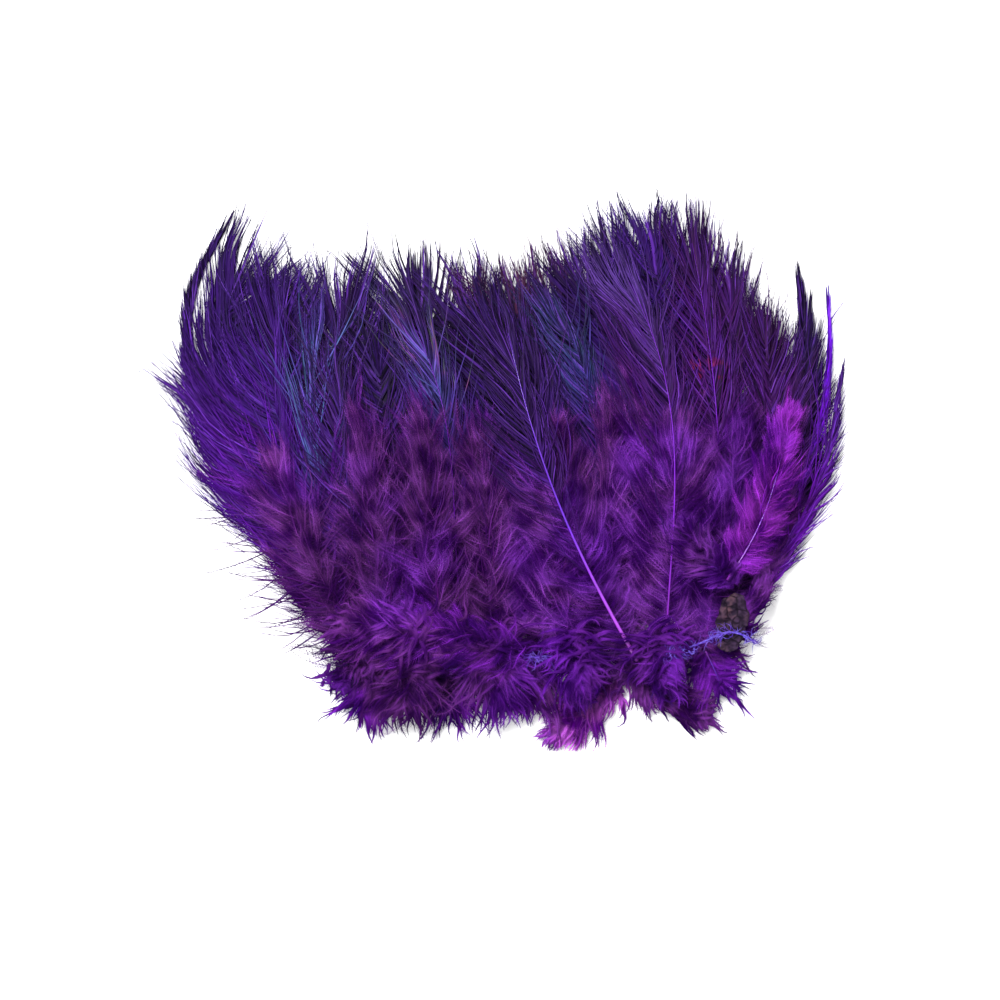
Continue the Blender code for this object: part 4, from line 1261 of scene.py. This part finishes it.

# %% [markdown]
# ## All the feathers
#
# Each feather rides on the bundle and stands for its own solid. All of them could
# be alike, but the real ones aren't, so about half get numbers of their own after
# their real look: the quills that lie bare on top, the loose edge feathers with
# stray hairs, the stiff narrow sickles and the curly tufts.

# %% Looks of single feathers
# In millimetres: left and right (longest barb), quill_lift, root_width, hair_limit and
# the spacings. As counts on a side: fluff and hairs. As a share of the usual: calm and
# silk (how far the barbs swing), narrow, ruffle, firm_wide and hair_width.
SICKLE = {"calm": 0.15, "ruffle": 0.15, "firm_spacing": 0.35, "tip_place": 0.93, "hairs": 2,
          "firm_wide": 1.7}
SHAGGY = (((0.0, 0.7), (0.3, 1.0), (0.6, 1.0), (0.8, 0.7), (1.0, 0.55)),
          ((0.0, 56.0), (0.45, 44.0), (0.6, 24.0), (1.0, 5.0)), 0.7)
CURLS = {"hairs": 22, "hair_angle": (10.0, 120.0), "hair_limit": 10.0, "hair_width": 2.4}
RIGHT_SIDE = {"vane": {-1: EVEN, 1: EVEN}}
OWN_LOOKS = {
    "front_quill_feather": {"quill_lift": 3.8, "root_width": 0.52, "paint": "dusk", "quill": "pale"},
    "tall_quill_feather": {"quill_lift": 2.6, "root_width": 0.3, "paint": "amethyst", "quill": "vivid"},
    "plum_quill_feather": {"quill_lift": 1.2, "root_width": 0.3, "quill": "vivid"},
    "iridescent_feather": {"quill_lift": 1.2, "root_width": 0.3, "quill": "vivid", "left": 24, "right": 16,
                           "vane": {-1: EVEN, 1: FOLLOWING}},
    "left_wide_feather": {"vane": {-1: SWEEPING, 1: UPRIGHT}, "left": 40, "right": 27, "firm_spacing": 0.17},
    "left_back_feather": {"vane": {-1: FOLLOWING, 1: BROAD}, "left": 20, "right": 22, "firm_spacing": 0.25},
    "left_pale_feather": {"vane": {-1: UPRIGHT, 1: UPRIGHT}, "left": 26, "right": 30, "firm_spacing": 0.6},
    "left_crossing_feather": {"left": 22, "right": 22},
    "spike_feather": {"left": 22, "right": 20},
    "left_middle_feather": {"vane": {-1: LEANING, 1: UPRIGHT}, "right": 27},
    "right_fringe_feather": RIGHT_SIDE,
    "right_shoulder_feather": RIGHT_SIDE,
    "right_back_feather": RIGHT_SIDE,
    "plum_shoulder_feather": RIGHT_SIDE,
    "right_edge_feather": {"stray": 0.2, "left": 9, "right": 15, "paint": "bright", "tip_place": 0.97,
                           "firm_wide": 1.4},
    "left_dark_sickle": {"left": 13, "right": 15, **SICKLE},
    "right_dark_sickle": {**SICKLE, "left": 17, "right": 19, "vane": {-1: SHAGGY, 1: SHAGGY},
                          "firm_spacing": 0.2},
    "right_violet_sickle": {"left": 9, "right": 9, "paint": "electric", **SICKLE},
    "magenta_plume": {"right": 8, "ruffle": 0.4, "fluff": 0, "silk": 0.3, "down_spacing": 0.2,
                      "quill": "vivid", "quill_lift": 1.5, "root_width": 0.3},
    "lower_plume": {"ruffle": 0.6, "down_spacing": 0.2, "paint": "bright", "hairs": 6, "fluff": 10,
                    "silk": 0.4},
    "side_plume": {"quill": "vivid", "quill_lift": 1.5, "root_width": 0.25, "paint": "grape", "fluff": 8},
    "scrap_fan_feather": {"fluff": 0, "paint": "dusk", "silk": 0.5},
    "right_down_feather": {"right": 12},
    "left_wisp_feather": {"stray": 0.3, "firm_spacing": 0.22, "hairs": 70, "hair_angle": (0.0, 34.0),
                          "hair_width": 1.9, "hair_limit": 40.0},
    "left_low_feather": {"stray": 0.3, "hairs": 40, "hair_angle": (50.0, 110.0), "hair_limit": 32.0},
    "left_down_feather": {"hairs": 40, "hair_angle": (50.0, 115.0), "left": 17},
    "right_side_tuft": {"quill_lift": 1.6, "root_width": 0.3, "quill": "pale", "paint": "plum", "fluff": 0,
                        "silk": 0.6, "narrow": 0.5, "hairs": 3},
    "mauve_bottom_feather": {"quill": "vivid", "quill_lift": 1.0, "silk": 0.35, "fluff": 14, "hairs": 2,
                             "ruffle": 0.4},
    "right_bottom_feather": {"silk": 0.5, "fluff": 16, "hairs": 3},
    "left_corner_tuft": {"left": 5, "right": 5, "fluff": 10, **CURLS, "hair_limit": 5.0},
    "left_bottom_tuft": {"left": 10, "right": 10, "fluff": 14, **CURLS},
    "second_bottom_tuft": CURLS,
    "third_bottom_tuft": CURLS,
    "fourth_bottom_tuft": {**CURLS, "paint": "plum"},
    "fifth_bottom_tuft": {**CURLS, "left": 14, "right": 9},
    "sixth_bottom_tuft": {"left": 8, "right": 12, "hairs": 3},
    "seventh_bottom_tuft": {"left": 9, "right": 8, "hairs": 3},
    "frayed_right_tuft": {"quill_lift": 3.0, "root_width": 0.3, "quill": "pale", "fluff": 16},
}
print("feathers with a look of their own:", len(OWN_LOOKS))

# %% [markdown]
# Every feather draws its random numbers from a seed of its own, so that a change
# to one feather leaves all the others as they were.

# %% Make the feathers
FIRST_SEED = 4100
DOWNY_LOFT = 3.6
FIRM_LOFT = 1.6


def dress(piece, node):
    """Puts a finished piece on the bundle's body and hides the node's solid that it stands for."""
    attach(piece, "root")
    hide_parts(node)


total = 0
for number, row in enumerate(ROWS):
    rng = np.random.default_rng(FIRST_SEED + number)
    row.update(OWN_LOOKS.get(row["name"], {}))
    row["loft"] = DOWNY_LOFT if row["form"] in ("plume", "tuft") else FIRM_LOFT
    pile = Pile()
    add_quill(pile, row)
    for side in (-1, 1):
        add_down(pile, row, side, rng)
        add_firm(pile, row, side, rng)
        add_hairs(pile, row, side, rng)
    mesh = pile.mesh(row["name"] + "_barbs")
    for paint in PAINTS[row.get("paint", row["dye"])]:
        mesh.materials.append(paint)
    if "quill" in row:
        mesh.materials[0] = QUILLS[row["quill"]]
    dress(linked(row["name"] + "_barbs", mesh), row["name"])
    total += len(mesh.polygons)
print("triangles in the feathers:", total)

# %% [markdown]
# ## The sewing thread
#
# The row of quills is sewn together with a thread of three twisted strands. Its
# route is the one its solid follows, and its height is read from that solid.
# Each strand is a curve with a round bevel that winds about the route. Where the
# thread was cut and rubbed it has frayed into single fibres, and these are laid
# with the ribbon of a firm barb, only much thinner.

# %% Three twisted strands
THREAD_ROUTE = (
    (-36, -53.6), (-32, -53), (-27, -52.4), (-22, -52), (-17, -51.4), (-12, -50.8), (-7, -49.8),
    (-2, -48.8), (3, -48), (8, -47.4), (13, -47), (18, -46.8), (23, -46.4), (28, -46.2), (33, -46),
    (38, -46), (43, -45.8), (48, -45.2), (51, -44.2), (53, -43.2), (55, -42), (57, -41.2), (59, -40.9),
    (61, -41.2), (63, -42), (64.5, -43), (65.5, -44.2),
)
STRANDS = 3
STRAND_RADIUS = 0.13
TWIST_RADIUS = 0.14
TWIST_LENGTH = 1.3
STEP_LENGTH = 0.2


def route_with_height(node, route):
    """The route's points with the height of the solid's own ring of corners nearest to each."""
    mesh = NODES[node].data
    spot = np.array([vertex.co for vertex in mesh.vertices]) / MM + (*BUNDLE_CENTRE, 0.0)
    points = []
    for x, y in route:
        near = np.argsort(np.hypot(spot[:, 0] - x, spot[:, 1] - y))[:8]
        points.append((x, y, spot[near, 2].mean()))
    return np.array(points)


def even_steps(points, step):
    """Points at even steps along a smooth line through the given ones."""
    knots = np.concatenate(([0.0], np.cumsum(np.linalg.norm(np.diff(points, axis=0), axis=1))))
    wanted = np.arange(0.0, knots[-1], step)
    line = np.stack([np.interp(wanted, knots, points[:, axis]) for axis in range(3)], axis=1)
    reach = int(2.0 / step)
    window = np.hanning(2 * reach + 1)
    window /= window.sum()
    padded = np.concatenate((np.repeat(line[:1], reach, axis=0), line, np.repeat(line[-1:], reach, axis=0)))
    return np.stack([np.convolve(padded[:, axis], window, "valid") for axis in range(3)], axis=1)


thread_line = even_steps(route_with_height("sewing_thread", THREAD_ROUTE), STEP_LENGTH)
thread_slope = np.gradient(thread_line, axis=0)
thread_slope /= np.linalg.norm(thread_slope, axis=1, keepdims=True)
thread_side = np.cross(thread_slope, (0.0, 0.0, 1.0))
thread_up = np.cross(thread_side, thread_slope)
strand_pieces = []
for strand in range(STRANDS):
    angle = 2.0 * np.pi * (np.arange(len(thread_line)) * STEP_LENGTH / TWIST_LENGTH + strand / STRANDS)
    outward = np.cos(angle)[:, None] * thread_side + np.sin(angle)[:, None] * thread_up
    winding = thread_line + TWIST_RADIUS * outward
    curve = bpy.data.curves.new("thread_strand", "CURVE")
    curve.dimensions = "3D"
    curve.bevel_depth = STRAND_RADIUS * MM
    curve.bevel_resolution = 1
    curve.use_fill_caps = True
    spline = curve.splines.new("POLY")
    spline.points.add(len(winding) - 1)
    for point, spot in zip(spline.points, (winding - (*BUNDLE_CENTRE, 0.0)) * MM):
        point.co = (*spot, 1.0)
    strand_pieces.append(linked("thread_strand", curve))
deselect()
for piece in strand_pieces:
    piece.select_set(True)
bpy.context.view_layer.objects.active = strand_pieces[0]
bpy.ops.object.convert(target="MESH")
bpy.ops.object.join()
thread_piece = bpy.context.object
thread_piece.name = "twisted_thread"
print("thread length, mm:", round(len(thread_line) * STEP_LENGTH, 1))

# %% [markdown]
# ## Frayed fibres
#
# Cotton frays into fibres that curl away at random. The real thread shows three
# such places: two wisps between the tufts and a long one over the scrap. They
# could be strands of hair, but the export keeps meshes only.

# %% Lay the fibres
# For each frayed place: first and last X, number, reach and lift in millimetres
FRAYS = ((9.0, 14.0, 40, 2.6, 4.2), (43.0, 50.0, 60, 3.2, 4.4), (53.0, 66.0, 90, 2.4, 0.5))
FIBRE_STEPS = 10
FIBRE_WIDTH = 0.15
FIBRE_SEED = 77


def fibre_spines(first, last, count, reach, lift, rng):
    """Loose fibres that leave the thread between two places of X and wander off."""
    inside = np.flatnonzero((thread_line[:, 0] > first) & (thread_line[:, 0] < last))
    start = thread_line[rng.choice(inside, count)] + rng.normal(0.0, 0.25, (count, 3))
    turn = rng.uniform(0.0, 2.0 * np.pi, count)
    bend = rng.normal(0.0, 2.2, count)
    length = reach * rng.uniform(0.4, 1.4, count)
    share = np.linspace(0.0, 1.0, FIBRE_STEPS + 1)[None, :]
    way = turn[:, None] + bend[:, None] * share
    step = length[:, None] / FIBRE_STEPS
    x = start[:, 0:1] + np.cumsum(np.cos(way) * step, axis=1)
    y = start[:, 1:2] + np.cumsum(np.sin(way) * step, axis=1)
    rise = lift + rng.normal(0.3, 0.4, count)[:, None] * np.sin(np.pi * share)
    return np.stack((x, y, start[:, 2:3] + rise), axis=2)


rng = np.random.default_rng(FIBRE_SEED)
fibres = Pile()
spines = np.concatenate([fibre_spines(*fray, rng) for fray in FRAYS])
widths = np.full(len(spines), FIBRE_WIDTH)
spots = lay("firm", spines, widths, rng.uniform(-0.8, 0.8, len(spines)))
fibres.add("firm", spots, np.full(len(spines), 0.5), rng.random(len(spines)), ("firm", -1), 0)
fibre_piece = linked("thread_fibres", fibres.mesh("thread_fibres"))
print("fibres:", sum(fray[2] for fray in FRAYS))

# %% [markdown]
# ## Paint of the thread
#
# The thread is blue-violet cotton that took the dye unevenly. In the middle of
# the row, where it lies among the tufts, its paint is darker within a set
# distance of one spot.

# %% Paint and place the thread
DARK_STRETCH_SPOT = (0.0255, -0.045, 0.0085)
DARK_STRETCH_REACH = (0.009, 0.0125)
THREAD_BUMP = 0.00005


def thread_paint():
    """Blue-violet cotton, paler and darker in small noise patches, deeper violet in broad ones, and darker
    in its middle stretch among the tufts.
    """
    material, tree, shader = new_paint("thread_paint", 0.7, 0.1)
    noise = patches(tree, 900.0)
    broad = patches(tree, 160.0)
    colour = blended(tree, ranged(tree, noise, 0.35, 0.65, 0.0, 1.0), dye(64, 34, 160), dye(122, 104, 222))
    colour = blended(tree, ranged(tree, broad, 0.4, 0.65, 0.0, 0.6), colour, dye(88, 30, 150))
    # Darker within a set distance of the stretch that lies among the tufts
    dark_stretch = ranged(tree, distance_from(tree, DARK_STRETCH_SPOT), *DARK_STRETCH_REACH, 1.0, 0.0)
    colour = blended(tree, dark_stretch, colour, dye(52, 8, 84))
    finish_paint(tree, shader, colour, noise, THREAD_BUMP)
    return material


THREAD_PAINT = thread_paint()
for piece in (thread_piece, fibre_piece):
    piece.data.materials.clear()
    piece.data.materials.append(THREAD_PAINT)
    dress(piece, "sewing_thread")
print("pieces that stand for the thread: 2")

# %% [markdown]
# ## The scrap of dried skin
#
# At the right end of the row a scrap of skin has dried hard: a flat, dark,
# wrinkled flake, cracked over its top. It starts as an icosphere, is squashed to
# the size of its solid in edit mode, and two Displace modifiers crumple it, one
# with slow clouds for the folds and one with cells for the cracks.

# %% Model the scrap
SCRAP_LOW, SCRAP_HIGH = (np.array(corner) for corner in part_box("dried_skin_scrap"))
SCRAP_TURN = math.radians(-12.0)
SCRAP_FIT = np.array((0.86, 0.95, 0.9))
# For each push: name, texture, size of its pattern and depth, in metres
PUSHES = (("folds", "CLOUDS", 0.0035, 0.0010), ("cracks", "VORONOI", 0.0017, 0.00035))

deselect()
bpy.ops.mesh.primitive_ico_sphere_add(subdivisions=6, radius=1.0)
scrap = bpy.context.object
scrap.name = "dried_skin_flake"
half = (SCRAP_HIGH - SCRAP_LOW) / 2.0
middle = (SCRAP_HIGH + SCRAP_LOW) / 2.0
bpy.ops.object.mode_set(mode="EDIT")
bpy.ops.mesh.select_all(action="SELECT")
bpy.ops.transform.resize(value=tuple(half * SCRAP_FIT), center_override=(0.0, 0.0, 0.0))
bpy.ops.transform.rotate(value=-SCRAP_TURN, orient_axis="Z", center_override=(0.0, 0.0, 0.0))
bpy.ops.transform.translate(value=tuple(middle))
bpy.ops.object.mode_set(mode="OBJECT")
for name, kind, size, depth in PUSHES:
    texture = bpy.data.textures.new(name, kind)
    texture.noise_scale = size
    push = scrap.modifiers.new(name, "DISPLACE")
    push.texture = texture
    push.texture_coords = "LOCAL"
    push.strength = depth * 2.0
    push.mid_level = 0.5
    bpy.ops.object.modifier_apply(modifier=name)
bpy.ops.object.shade_smooth()
print("scrap triangles:", len(scrap.data.polygons))

# %% [markdown]
# ## Paint of the scrap
#
# Dried skin is dark and dull. Voronoi cells, read by the distance to their edge,
# give the fine cracks, and two sizes of soft noise rub its ridges paler.

# %% Paint and place the scrap
CRACK_SCALE = 420.0
SKIN_BUMP = 0.00012


def skin_paint():
    """Nearly black dyed skin with paler rubbed ridges and fine cracks."""
    material, tree, shader = new_paint("skin_paint", 0.7, 0.06)
    values = {"Vector": object_place(tree), "Scale": CRACK_SCALE}
    cells = node_of(tree, "ShaderNodeTexVoronoi", values, feature="DISTANCE_TO_EDGE")
    edge = ranged(tree, cells.outputs["Distance"], 0.0, 0.12, 0.0, 1.0)
    edge = math_of(tree, "MAXIMUM", edge, ranged(tree, patches(tree, 300.0), 0.42, 0.6, 0.0, 0.9))
    ridges = ranged(tree, patches(tree, 700.0), 0.4, 0.68, 0.0, 1.0)
    rubbed = ranged(tree, patches(tree, 160.0), 0.4, 0.62, 0.0, 1.0)
    pale = blended(tree, rubbed, dye(58, 40, 66), dye(84, 58, 66))
    colour = blended(tree, ridges, dye(34, 22, 40), pale)
    colour = blended(tree, edge, dye(12, 4, 18), colour)
    finish_paint(tree, shader, colour, edge, SKIN_BUMP)
    return material


scrap.data.materials.append(skin_paint())
dress(scrap, "dried_skin_scrap")
print("the scrap stands for dried_skin_scrap")
